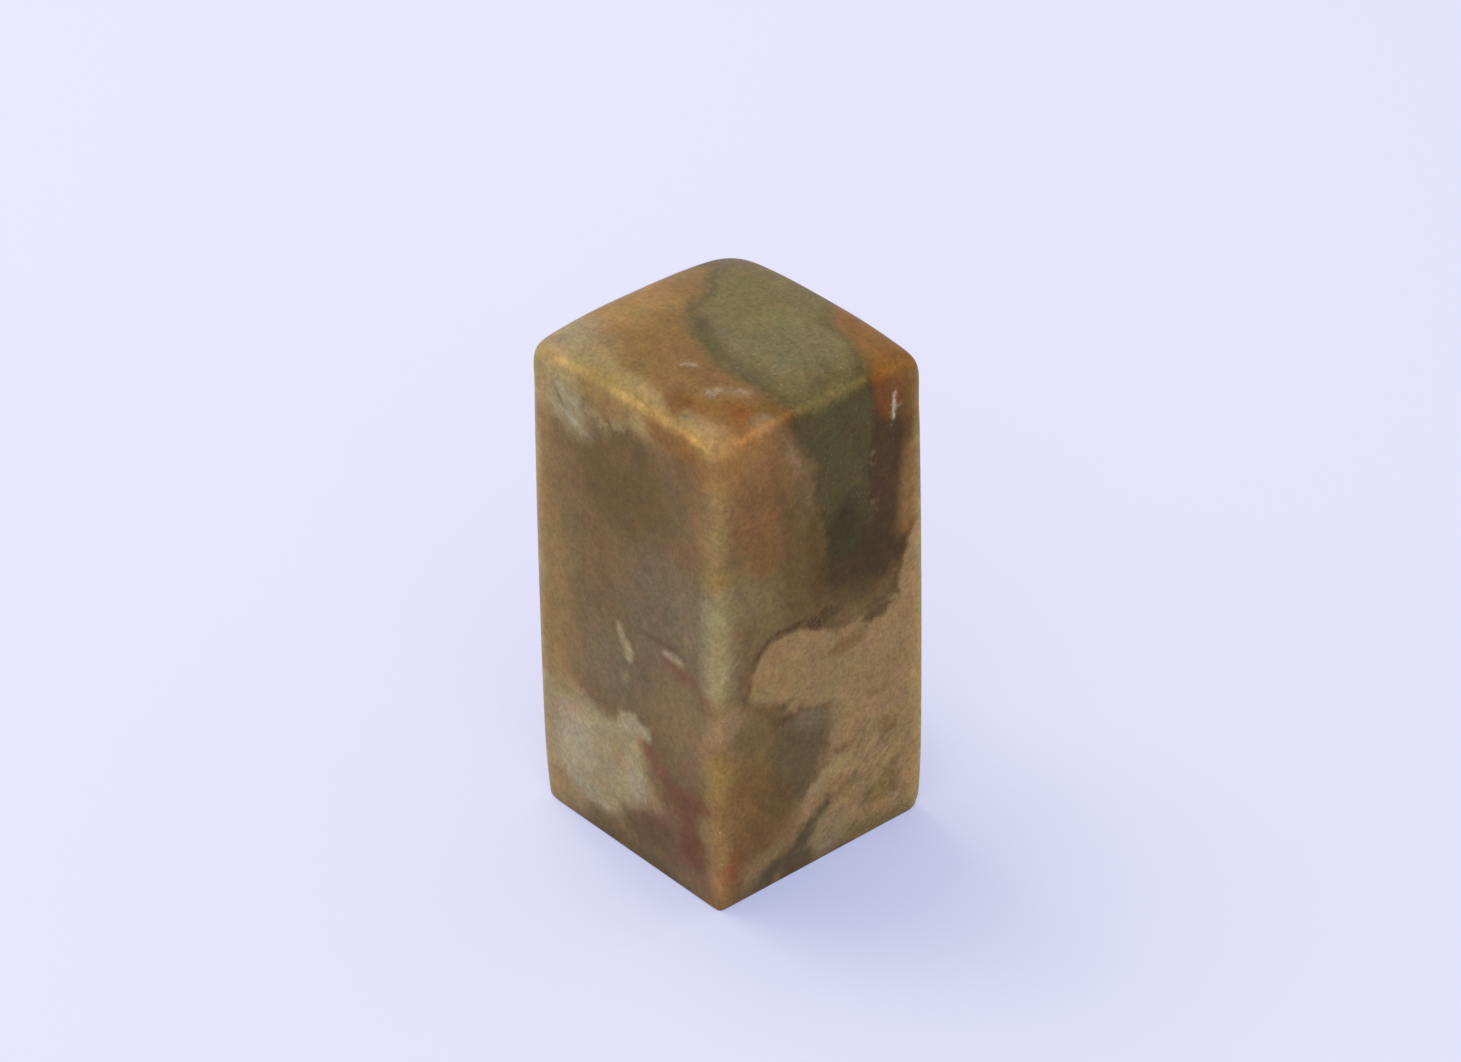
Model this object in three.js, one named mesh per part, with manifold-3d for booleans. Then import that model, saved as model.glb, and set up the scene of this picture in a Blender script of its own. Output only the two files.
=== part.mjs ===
// Seal stamp: a square seal ground and polished from one block of soft carving stone.
// Millimetres, +Z up. The origin is the middle of the base, on the plane that prints.
// The block stands on its carved face. The front looks along -Y and the right side along +X.
import * as THREE from "three";
import { mergeVertices } from "three/addons/utils/BufferGeometryUtils.js";
import Module from "manifold-3d";

// The block, a standard blank of 25 x 25 x 50 that was ground by hand and narrows upwards
const blockHeight = 50;
const baseWidth = 25.2; // along X
const topWidth = 24.8;
const baseDepth = 24.6; // along Y
const topDepth = 23.8;
const sideFullness = 0.15; // how far each side swells at half height
const footEase = 0.2; // how far each side falls away at the base
const footHeight = 7.5; // the height that this takes
const arris = 0.15; // the small chamfer round the base

// The crowned top
const crownDrop = 1.15; // from the middle of the top to the middle of an edge
const crownPower = 3.1; // 2 is an even curve, and more keeps the middle flat
const topEdgeRadius = 1.8;

// The radius of each upright edge, worn by hand, at the top and at the base
const frontEdgeTop = 1.6; // between the front and the right side
const frontEdgeBase = 0.6;
const rightEdgeTop = 1.4; // between the right side and the back
const rightEdgeBase = 0.6;
const backEdgeTop = 3.4; // between the back and the left side
const backEdgeBase = 1.6;
const leftEdgeTop = 1.4; // between the left side and the front
const leftEdgeBase = 1.9;
const leastEdgeShare = 0.25; // of an edge's radius, kept where the top rounds over it

// The carved face: a border round a plum blossom, both left standing in relief
const reliefDepth = 1.2;
const borderWidth = 1.5;
const borderCornerRadius = 1.2; // of the border's inner corners
const blossomMargin = 1; // between the blossom and the border
const petalCount = 5;
const petalGap = 0.6; // between two petals
const pistilGap = 0.9; // between the petals and the round pistil
const wallLean = 0.2; // how far a cut wall slopes in from its mouth to its floor

// How finely the curves are divided
const arcSteps = 6; // on an upright edge
const sideSteps = 6; // on a flat side
const footSteps = 3; // up the foot
const wallSteps = 2; // below the flat band, and above it
const roundSteps = 5; // over the top edge
const crownSteps = 7; // from the top edge to the middle of the top
const circleSteps = 16; // on half of a petal
const flatBand = 6; // height of the true flat at the middle of each side
const weldDistance = 1e-4; // points closer than this are one point

const wasm = await Module();
wasm.setup();

const mix = THREE.MathUtils.lerp;

// Shares of a whole, from one count to another: steps(0, 2) is 0, 0.5 and 1.
function steps(from, to, whole = to) {
  return Array.from({ length: to - from + 1 }, (_, i) => (from + i) / whole);
}

// Half the width and half the depth of the block at a height.
function halfSizes(height) {
  const share = height / blockHeight;
  const swell = sideFullness * (1 - (2 * share - 1) ** 2);
  const fall = footEase * Math.max(0, 1 - height / footHeight) ** 2;
  return {
    x: mix(baseWidth, topWidth, share) / 2 + swell - fall,
    y: mix(baseDepth, topDepth, share) / 2 + swell - fall,
  };
}

// The outline of the block at a height, moved in by an inset: a rectangle with four rounded corners.
function outline(height, inset = 0) {
  const half = halfSizes(height);
  const x = half.x - inset;
  const y = half.y - inset;
  const arcs = [
    { base: rightEdgeBase, top: rightEdgeTop, signX: 1, signY: 1 },
    { base: backEdgeBase, top: backEdgeTop, signX: -1, signY: 1 },
    { base: leftEdgeBase, top: leftEdgeTop, signX: -1, signY: -1 },
    { base: frontEdgeBase, top: frontEdgeTop, signX: 1, signY: -1 },
  ].map(({ base, top, signX, signY }, quarter) => {
    const worn = mix(base, top, height / blockHeight);
    const radius = Math.max(worn - inset, worn * leastEdgeShare);
    return steps(0, arcSteps).map((share) => {
      const angle = ((quarter + share) * Math.PI) / 2;
      return new THREE.Vector2(
        signX * (x - radius) + radius * Math.cos(angle),
        signY * (y - radius) + radius * Math.sin(angle),
      );
    });
  });
  return arcs.flatMap((arc, i) => {
    const next = arcs[(i + 1) % arcs.length][0];
    const side = steps(1, sideSteps - 1, sideSteps).map((share) => arc.at(-1).clone().lerp(next, share));
    return [...arc, ...side];
  });
}

// The height of the crowned top over a point.
function crownHeight({ x, y }) {
  const fall = Math.abs((2 * x) / topWidth) ** crownPower + Math.abs((2 * y) / topDepth) ** crownPower;
  return blockHeight - crownDrop * fall;
}

// Rings of points from the base to the middle of the top.
function blockRings() {
  const rings = [];
  const addLevel = (height, inset = 0) =>
    rings.push(outline(height, inset).map((p) => new THREE.Vector3(p.x, p.y, height)));

  const shoulder = blockHeight - crownDrop - topEdgeRadius;
  const belowFlat = (blockHeight - flatBand) / 2;
  const aboveFlat = (blockHeight + flatBand) / 2;
  const wallTop = shoulder - 2 * crownDrop - topEdgeRadius; // clear of the lowest corner of the top
  addLevel(0, arris);
  for (const share of steps(0, footSteps)) addLevel(mix(arris, footHeight, share));
  for (const share of steps(1, wallSteps)) addLevel(mix(footHeight, belowFlat, share));
  for (const share of steps(0, wallSteps)) addLevel(mix(aboveFlat, wallTop, share));

  for (const share of steps(0, roundSteps)) {
    const angle = (share * Math.PI) / 2;
    const inset = topEdgeRadius * (1 - Math.cos(angle));
    const drop = topEdgeRadius * (1 - Math.sin(angle));
    rings.push(outline(shoulder, inset).map((p) => new THREE.Vector3(p.x, p.y, crownHeight(p) - drop)));
  }
  const crownEdge = outline(shoulder, topEdgeRadius);
  for (const share of steps(1, crownSteps - 1, crownSteps)) {
    const ring = crownEdge.map((p) => p.clone().multiplyScalar(1 - share));
    rings.push(ring.map((p) => new THREE.Vector3(p.x, p.y, crownHeight(p))));
  }
  return rings;
}

// One closed skin over a stack of rings, with a point in the middle of each end.
function skin(rings, bottom, top) {
  const around = rings[0].length;
  const points = [bottom, ...rings.flat(), top];
  const at = (ring, i) => 1 + ring * around + (i % around);
  const last = points.length - 1;
  const faces = [];
  for (let i = 0; i < around; i++) {
    faces.push(0, at(0, i + 1), at(0, i));
    for (let ring = 0; ring < rings.length - 1; ring++) {
      faces.push(at(ring, i), at(ring, i + 1), at(ring + 1, i + 1));
      faces.push(at(ring, i), at(ring + 1, i + 1), at(ring + 1, i));
    }
    faces.push(at(rings.length - 1, i), at(rings.length - 1, i + 1), last);
  }
  return new THREE.BufferGeometry().setFromPoints(points).setIndex(faces);
}

// The round parts that stand inside the border: the petals in a ring, and the pistil in the middle.
function blossom(outerRadius) {
  const sine = Math.sin(Math.PI / petalCount);
  const petalRadius = (outerRadius * sine - petalGap / 2) / (sine + 1);
  const reach = outerRadius - petalRadius;
  const petals = Array.from({ length: petalCount }, (_, i) => {
    const angle = Math.PI / 2 + (i / petalCount) * 2 * Math.PI;
    return { x: reach * Math.cos(angle), y: reach * Math.sin(angle), radius: petalRadius };
  });
  return [...petals, { x: 0, y: 0, radius: reach - petalRadius - pistilGap }];
}

// The stone cut away inside the border: a shallow well whose walls slope in towards its floor.
function reliefWell() {
  const half = halfSizes(0);
  const x = half.x - arris - borderWidth;
  const y = half.y - arris - borderWidth;
  const r = borderCornerRadius;
  const well = new THREE.Shape();
  well.absarc(x - r, y - r, r, 0, Math.PI / 2);
  well.absarc(r - x, y - r, r, Math.PI / 2, Math.PI);
  well.absarc(r - x, r - y, r, Math.PI, 1.5 * Math.PI);
  well.absarc(x - r, r - y, r, 1.5 * Math.PI, 2 * Math.PI);
  for (const part of blossom(Math.min(x, y) - blossomMargin))
    well.holes.push(new THREE.Path().absarc(part.x, part.y, part.radius, 0, 2 * Math.PI, true));

  // The straight part lies under the base, and the sloping part above it is what cuts the stone.
  const below = reliefDepth;
  return new THREE.ExtrudeGeometry(well, {
    depth: below,
    bevelSegments: 1,
    bevelThickness: reliefDepth,
    bevelSize: wallLean,
    bevelOffset: -wallLean,
    curveSegments: circleSteps,
  }).translate(0, 0, -below);
}

// A closed mesh as a solid that can be cut.
function toSolid(geometry) {
  const bare = new THREE.BufferGeometry()
    .setAttribute("position", geometry.getAttribute("position"))
    .setIndex(geometry.getIndex());
  const merged = mergeVertices(bare, weldDistance);
  const vertProperties = merged.getAttribute("position").array;
  const triVerts = new Uint32Array(merged.getIndex().array);
  return new wasm.Manifold(new wasm.Mesh({ numProp: 3, vertProperties, triVerts }));
}

// A cut solid as a geometry again.
function toGeometry(solid) {
  const mesh = solid.getMesh();
  const geometry = new THREE.BufferGeometry();
  geometry.setAttribute("position", new THREE.BufferAttribute(mesh.vertProperties, mesh.numProp));
  geometry.setIndex(new THREE.BufferAttribute(mesh.triVerts, 1));
  geometry.computeVertexNormals();
  return geometry;
}

// The seal: the block with its face carved.
function sealStone() {
  const bottom = new THREE.Vector3(0, 0, 0);
  const top = new THREE.Vector3(0, 0, blockHeight);
  const block = toSolid(skin(blockRings(), bottom, top));
  const carved = block.subtract(toSolid(reliefWell()));
  const material = new THREE.MeshStandardMaterial({ color: 0x8c7048, roughness: 0.35, metalness: 0 });
  const mesh = new THREE.Mesh(toGeometry(carved), material);
  mesh.name = "seal_stone";
  return mesh;
}

const seal = new THREE.Group();
seal.add(sealStone());

export default seal;
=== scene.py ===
"""A seal stamp: a block of mottled stone, ground square by hand, polished, and carved on its base."""

import logging
import math
from collections.abc import Callable, Iterator
from contextlib import contextmanager
from dataclasses import dataclass
from enum import Enum

import bmesh
import bpy
import numpy as np
from mathutils import Matrix, Vector


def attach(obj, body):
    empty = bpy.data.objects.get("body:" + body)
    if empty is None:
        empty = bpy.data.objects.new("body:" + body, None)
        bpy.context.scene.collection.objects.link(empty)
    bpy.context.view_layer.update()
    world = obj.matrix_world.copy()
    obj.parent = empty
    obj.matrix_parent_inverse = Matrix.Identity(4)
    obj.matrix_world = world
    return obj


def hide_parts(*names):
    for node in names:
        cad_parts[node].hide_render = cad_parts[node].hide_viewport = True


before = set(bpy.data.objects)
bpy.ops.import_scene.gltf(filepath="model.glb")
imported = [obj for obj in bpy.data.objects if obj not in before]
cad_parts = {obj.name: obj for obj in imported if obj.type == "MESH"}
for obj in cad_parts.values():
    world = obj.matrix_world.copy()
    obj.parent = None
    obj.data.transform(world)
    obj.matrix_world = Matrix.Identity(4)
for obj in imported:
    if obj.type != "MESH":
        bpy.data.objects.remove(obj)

log = logging.getLogger("seal_stamp")

Triple = tuple[float, float, float]
Span = tuple[float, float]

MM = 0.001
PHOTO_WIDTH = 1461

# How near to a level or a place a point is taken to be on it, and how squarely a face looks up or down
ON_LEVEL = 0.01 * MM
ON_POINT = 0.05 * MM
SQUARELY = 0.9


# Hand tools for shaping a mesh


def take_up(piece: bpy.types.Object) -> None:
    """Makes one object the only one selected, and the active one.

    Args:
        piece: the object.
    """
    bpy.ops.object.select_all(action="DESELECT")
    piece.select_set(True)
    bpy.context.view_layer.objects.active = piece


@contextmanager
def edit_mode(piece: bpy.types.Object) -> Iterator[None]:
    """Opens one object for editing with nothing selected in it, and closes it afterwards.

    Args:
        piece: the mesh object to work on.

    Returns:
        The context in which the object is open.
    """
    take_up(piece)
    bpy.ops.object.mode_set(mode="EDIT")
    bpy.ops.mesh.select_mode(type="VERT")
    bpy.ops.mesh.select_all(action="DESELECT")
    try:
        yield
    finally:
        bpy.ops.object.mode_set(mode="OBJECT")


def pick_points(piece: bpy.types.Object, wanted: Callable[[Vector], bool]) -> None:
    """Selects the points of the open mesh that a test accepts, and no others.

    Args:
        piece: the object that is in edit mode.
        wanted: takes a point's place and says whether to select it.
    """
    bpy.ops.mesh.select_mode(type="VERT")
    mesh = bmesh.from_edit_mesh(piece.data)
    for face in mesh.faces:
        face.select_set(False)
    for vert in mesh.verts:
        vert.select_set(wanted(vert.co))
    mesh.select_flush_mode()
    bmesh.update_edit_mesh(piece.data)


def in_box(place: Vector, middle: Triple, reach: Triple) -> bool:
    """Whether a place lies in a box, or so near to it that it is taken to be in it.

    Args:
        place: the place.
        middle: the middle of the box.
        reach: how far the box reaches from its middle along each axis.

    Returns:
        Whether it does.
    """
    return all(abs(here - centre) < far + ON_LEVEL for here, centre, far in zip(place, middle, reach))


def pick_faces(piece: bpy.types.Object, wanted: Callable[[Vector], bool]) -> None:
    """Selects the faces of the open mesh that a test accepts, and no others.

    Args:
        piece: the object that is in edit mode.
        wanted: takes a face's normal and says whether to select it.
    """
    bpy.ops.mesh.select_mode(type="FACE")
    mesh = bmesh.from_edit_mesh(piece.data)
    mesh.normal_update()
    for face in mesh.faces:
        face.select_set(wanted(face.normal))
    mesh.select_flush_mode()
    bmesh.update_edit_mesh(piece.data)


def add_piece(name: str, primitive: Callable[..., set[str]], **settings: object) -> bpy.types.Object:
    """Adds a primitive as a new piece, the only one selected.

    Args:
        name: the piece's name.
        primitive: the operator that adds it.
        settings: the operator's settings.

    Returns:
        The object.
    """
    bpy.ops.object.select_all(action="DESELECT")
    primitive(**settings)
    piece = bpy.context.object
    piece.name = name
    piece.data.name = name
    return piece


def apply_modifier(piece: bpy.types.Object, kind: str, **settings: object) -> None:
    """Adds one modifier to a piece and applies it at once.

    Args:
        piece: the mesh object.
        kind: the modifier's type.
        settings: its properties.
    """
    take_up(piece)
    modifier = piece.modifiers.new(kind.title(), kind)
    for key, value in settings.items():
        setattr(modifier, key, value)
    bpy.ops.object.modifier_apply(modifier=modifier.name)


def cut_away(piece: bpy.types.Object, tool: bpy.types.Object) -> None:
    """Cuts one solid out of another and deletes the tool.

    Args:
        piece: the solid that stays.
        tool: the solid that is cut out of it.
    """
    apply_modifier(piece, "BOOLEAN", operation="DIFFERENCE", solver="EXACT", object=tool)
    bpy.data.objects.remove(tool)


def read_points(piece: bpy.types.Object) -> np.ndarray:
    """Reads where a piece's points are.

    Args:
        piece: the mesh object.

    Returns:
        Their places, one row each.
    """
    places = np.zeros(len(piece.data.vertices) * 3)
    piece.data.vertices.foreach_get("co", places)
    return places.reshape(-1, 3)


def move_points(piece: bpy.types.Object, places: np.ndarray) -> None:
    """Moves a piece's points to new places."""
    piece.data.vertices.foreach_set("co", places.ravel())
    piece.data.update()


def ease(low: float, high: float, value: np.ndarray) -> np.ndarray:
    """A smooth step from 0 at the low value to 1 at the high one.

    Args:
        low: where the step starts.
        high: where it ends.
        value: the numbers to turn into shares.

    Returns:
        The shares, one for each number.
    """
    share = np.clip((value - low) / (high - low), 0.0, 1.0)
    return share * share * (3.0 - 2.0 * share)


# The stone


@dataclass(frozen=True)
class UprightEdge:
    """One upright edge of the block, worn to a radius that changes from the base to the top.

    The smoothing draws a corner in, so its own point is pushed out first, by corner_push.
    """

    side_x: int
    side_y: int
    top_radius: float
    base_radius: float
    corner_push: float

    def radius(self, share: float) -> float:
        """The radius at a share of the height."""
        return self.base_radius + (self.top_radius - self.base_radius) * share


@dataclass(frozen=True)
class BluntCorner:
    """A corner of the base that wear left blunt: how far round it the stone is drawn in, and how deep."""

    side_x: int
    side_y: int
    reach: float
    depth: float


@dataclass
class SealStone:
    """The block: its sizes in metres, and the steps that shape it.

    The rings of its cage are at the levels, and the columns at first_support and side_cut from each side.
    The smoothing rounds a corner to about its support's distance divided by support_per_radius.
    """

    height: float = 50 * MM
    base_width: float = 25.2 * MM
    top_width: float = 24.8 * MM
    base_depth: float = 24.6 * MM
    top_depth: float = 23.8 * MM
    fullness: float = 0.15 * MM
    foot_ease: float = 0.2 * MM
    foot_height: float = 7.5 * MM
    crown_drop: float = 1.15 * MM
    crown_power: float = 3.1
    crown_from: float = 40 * MM
    top_radius: float = 1.8 * MM
    arris_support: float = 0.25 * MM
    support_per_radius: float = 1.757
    levels: tuple[float, ...] = (2.2 * MM, 4.6 * MM, 7.5 * MM, 15 * MM, 25 * MM, 34 * MM, 41.5 * MM)
    first_support: float = 3 * MM
    side_cut: float = 4.2 * MM
    smooth_levels: int = 4
    smooth_angle: float = 32.0
    weld: float = 0.002 * MM
    upright_edges: tuple[UprightEdge, ...] = (
        UprightEdge(1, -1, top_radius=1.6 * MM, base_radius=0.6 * MM, corner_push=0.25 * MM),
        UprightEdge(1, 1, top_radius=1.4 * MM, base_radius=0.6 * MM, corner_push=0.25 * MM),
        UprightEdge(-1, 1, top_radius=3.4 * MM, base_radius=1.6 * MM, corner_push=0.45 * MM),
        UprightEdge(-1, -1, top_radius=1.4 * MM, base_radius=1.9 * MM, corner_push=0.25 * MM),
    )
    blunt_corners: tuple[BluntCorner, ...] = (
        BluntCorner(1, 1, reach=1.4 * MM, depth=0.24 * MM),
        BluntCorner(-1, 1, reach=1.5 * MM, depth=0.12 * MM),
    )
    relief_depth: float = 1.2 * MM
    border_width: float = 1.65 * MM
    border_corner: float = 1.2 * MM
    border_corner_steps: int = 8
    blossom_margin: float = 1 * MM
    petal_count: int = 5
    petal_gap: float = 0.6 * MM
    pistil_gap: float = 0.9 * MM
    petal_points: int = 64
    wall_lean: float = 0.2 * MM
    standing_reach: float = 1.5

    @property
    def shoulder(self) -> float:
        """The height of the ring below the top, which sets how round the top edge gets."""
        return self.height - self.support_per_radius * self.top_radius

    @property
    def ring_heights(self) -> tuple[float, ...]:
        """The heights of all the rings of the cage, base and top with them."""
        return (0.0, self.arris_support, *self.levels, self.shoulder, self.height)

    def half_sizes(self, level: float) -> tuple[float, float]:
        """Half the width and half the depth of the block at a height.

        Args:
            level: the height over the base.

        Returns:
            The two half sizes.
        """
        share = level / self.height
        swell = self.fullness * (1 - (2 * share - 1) ** 2)
        swell -= self.foot_ease * max(0.0, 1 - level / self.foot_height) ** 2
        width = self.base_width + (self.top_width - self.base_width) * share
        depth = self.base_depth + (self.top_depth - self.base_depth) * share
        return width / 2 + swell, depth / 2 + swell

    def build(self) -> bpy.types.Object:
        """Shapes the whole stone.

        Returns:
            The finished mesh object, at the origin.
        """
        stone = self._saw_block()
        self._cut_cage(stone)
        self._shape_levels(stone)
        self._wear_upright_edges(stone)
        self._hold_base_edge(stone)
        apply_modifier(stone, "SUBSURF", levels=self.smooth_levels, render_levels=self.smooth_levels)
        self._crown_top(stone)
        self._blunt_base(stone)
        self._carve_face(stone)
        with edit_mode(stone):
            bpy.ops.mesh.select_all(action="SELECT")
            bpy.ops.mesh.remove_doubles(threshold=self.weld)
            bpy.ops.mesh.normals_make_consistent(inside=False)
        bpy.ops.object.shade_smooth_by_angle(angle=math.radians(self.smooth_angle))
        return stone

    def _saw_block(self) -> bpy.types.Object:
        """The sawn blank, a plain block at its real size.

        Returns:
            The block, standing on the origin.
        """
        stone = add_piece("mottled_stone", bpy.ops.mesh.primitive_cube_add, size=1, location=(0, 0, 0))
        with edit_mode(stone):
            bpy.ops.mesh.select_all(action="SELECT")
            size = (self.base_width, self.base_depth, self.height)
            bpy.ops.transform.resize(value=size, center_override=(0, 0, 0))
            bpy.ops.transform.translate(value=(0, 0, self.height / 2))
        return stone

    def _cut_cage(self, stone: bpy.types.Object) -> None:
        """Cuts rings and columns into the block, which the later steps move.

        Args:
            stone: the sawn block.
        """
        half_x, half_y = self.base_width / 2, self.base_depth / 2
        heights = (*self.levels, self.shoulder, self.arris_support)
        cuts = [((0, 0, level), (0, 0, 1)) for level in heights]
        for side in (-1, 1):
            for inset in (self.first_support, half_x - self.side_cut):
                cuts.append(((side * (half_x - inset), 0, 0), (1, 0, 0)))
            for inset in (self.first_support, half_y - self.side_cut):
                cuts.append(((0, side * (half_y - inset), 0), (0, 1, 0)))
        with edit_mode(stone):
            for place, normal in cuts:
                bpy.ops.mesh.select_all(action="SELECT")
                bpy.ops.mesh.bisect(plane_co=place, plane_no=normal, use_fill=False)

    def _shape_levels(self, stone: bpy.types.Object) -> None:
        """Gives each ring its own width and depth: the taper, the full sides and the eased foot.

        Args:
            stone: the block with its rings cut.
        """
        with edit_mode(stone):
            for level in self.ring_heights:
                half_x, half_y = self.half_sizes(level)
                pick_points(stone, lambda co, z=level: abs(co.z - z) < ON_LEVEL)
                scale = (2 * half_x / self.base_width, 2 * half_y / self.base_depth, 1)
                bpy.ops.transform.resize(value=scale, center_override=(0, 0, level))

    def _wear_upright_edges(self, stone: bpy.types.Object) -> None:
        """Draws the columns beside each upright edge in or out, which sets how round it gets.

        Args:
            stone: the block with its rings shaped.
        """
        with edit_mode(stone):
            for level in self.ring_heights:
                half_x, half_y = self.half_sizes(level)
                held_x = self.first_support * 2 * half_x / self.base_width
                held_y = self.first_support * 2 * half_y / self.base_depth
                for edge in self.upright_edges:
                    corner = (edge.side_x * half_x, edge.side_y * half_y, level)
                    reach = self.support_per_radius * edge.radius(level / self.height)
                    held = (held_x, held_y, 0.0)
                    pick_points(stone, lambda co, middle=corner, box=held: in_box(co, middle, box))
                    scale = (reach / held_x, reach / held_y, 1)
                    bpy.ops.transform.resize(value=scale, center_override=corner)
            self._hold_top_edge(stone)

    def _hold_top_edge(self, stone: bpy.types.Object) -> None:
        """Sets the four inner points of the top, which with the ring below it round the top edge.

        Args:
            stone: the block, in edit mode.
        """
        half_x, half_y = self.half_sizes(self.height)
        wanted = self.support_per_radius * self.top_radius
        for edge in self.upright_edges:
            corner = (edge.side_x * half_x, edge.side_y * half_y, self.height)
            reach = self.support_per_radius * edge.top_radius
            inner = Vector((corner[0] - edge.side_x * reach, corner[1] - edge.side_y * reach, self.height))
            pick_points(stone, lambda co, place=inner: (co - place).length < ON_POINT)
            scale = (wanted / reach, wanted / reach, 1)
            bpy.ops.transform.resize(value=scale, center_override=corner)
            pick_points(stone, lambda co, place=Vector(corner): (co - place).length < ON_POINT)
            push = edge.corner_push
            bpy.ops.transform.translate(value=(edge.side_x * push, edge.side_y * push, push))

    def _hold_base_edge(self, stone: bpy.types.Object) -> None:
        """Insets the base a little, so that its edge stays crisp when the rest is smoothed.

        Args:
            stone: the block with its edges worn.
        """
        with edit_mode(stone):
            pick_faces(stone, lambda normal: normal.z < -SQUARELY)
            bpy.ops.mesh.inset(thickness=self.arris_support, use_even_offset=True)

    def _crown_top(self, stone: bpy.types.Object) -> None:
        """Lowers the top towards its edges and corners, as hand lapping leaves it.

        Args:
            stone: the smoothed block.
        """
        places = read_points(stone)
        along_x = np.abs(2 * places[:, 0] / self.top_width) ** self.crown_power
        along_y = np.abs(2 * places[:, 1] / self.top_depth) ** self.crown_power
        share = ease(self.crown_from, self.shoulder, places[:, 2])
        places[:, 2] -= self.crown_drop * (along_x + along_y) * share
        move_points(stone, places)

    def _blunt_base(self, stone: bpy.types.Object) -> None:
        """Draws the worn corners of the base in and up.

        Args:
            stone: the smoothed block.
        """
        half_x, half_y = self.half_sizes(0)
        places = read_points(stone)
        for corner in self.blunt_corners:
            tip = np.array((corner.side_x * half_x, corner.side_y * half_y, 0.0))
            away = np.linalg.norm(places - tip, axis=1)
            inwards = np.array((-corner.side_x, -corner.side_y, 1.0)) / math.sqrt(3)
            places += np.outer(corner.depth * ease(corner.reach, 0.0, away), inwards)
        move_points(stone, places)

    def _carve_face(self, stone: bpy.types.Object) -> None:
        """Cuts the printing face: a border round a plum blossom, both left standing in relief.

        Args:
            stone: the smoothed and crowned block.
        """
        half_x, half_y = self.half_sizes(0)
        well_x, well_y = half_x - self.border_width, half_y - self.border_width
        well = self._well(well_x, well_y)
        outer = min(well_x, well_y) - self.blossom_margin
        sine = math.sin(math.pi / self.petal_count)
        petal = (outer * sine - self.petal_gap / 2) / (sine + 1)
        reach = outer - petal
        for index in range(self.petal_count):
            angle = math.pi / 2 + index * 2 * math.pi / self.petal_count
            cut_away(well, self._standing(reach * math.cos(angle), reach * math.sin(angle), petal))
        cut_away(well, self._standing(0, 0, reach - petal - self.pistil_gap))
        cut_away(stone, well)

    def _well(self, half_x: float, half_y: float) -> bpy.types.Object:
        """The stone between the border and the blossom, as a block with leaning walls.

        Args:
            half_x: half its width at the mouth.
            half_y: half its depth at the mouth.

        Returns:
            The cutting tool, from under the base up to the floor of the carving.
        """
        well = add_piece("carving_tool", bpy.ops.mesh.primitive_cube_add, size=2, location=(0, 0, 0))
        with edit_mode(well):
            bpy.ops.mesh.select_all(action="SELECT")
            bpy.ops.transform.resize(value=(half_x, half_y, self.relief_depth), center_override=(0, 0, 0))
            mesh = bmesh.from_edit_mesh(well.data)
            bpy.ops.mesh.select_all(action="DESELECT")
            bpy.ops.mesh.select_mode(type="EDGE")
            for edge in mesh.edges:
                edge.select_set(abs(edge.verts[0].co.z - edge.verts[1].co.z) > self.relief_depth)
            bmesh.update_edit_mesh(well.data)
            bpy.ops.mesh.bevel(offset=self.border_corner, segments=self.border_corner_steps, affect="EDGES")
            pick_faces(well, lambda normal: normal.z > SQUARELY)
            scale = (1 - self.wall_lean / half_x, 1 - self.wall_lean / half_y, 1)
            bpy.ops.transform.resize(value=scale, center_override=(0, 0, self.relief_depth))
        return well

    def _standing(self, x: float, y: float, radius: float) -> bpy.types.Object:
        """A round part that is left standing: a cone stump, wider at the floor of the carving.

        Args:
            x: its middle.
            y: its middle.
            radius: its radius on the printing face.

        Returns:
            The stump, longer than the well is deep.
        """
        lean = self.wall_lean * self.standing_reach
        stump = add_piece(
            "standing_part",
            bpy.ops.mesh.primitive_cone_add,
            vertices=self.petal_points,
            radius1=radius - lean,
            radius2=radius + lean,
            depth=2 * self.relief_depth * self.standing_reach,
            location=(x, y, 0),
        )
        bpy.ops.object.transform_apply(location=True)
        return stump


# Nodes


Socket = bpy.types.NodeSocket
Sockets = bpy.types.bpy_prop_collection
Value = Socket | float | tuple[float, ...]


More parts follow.
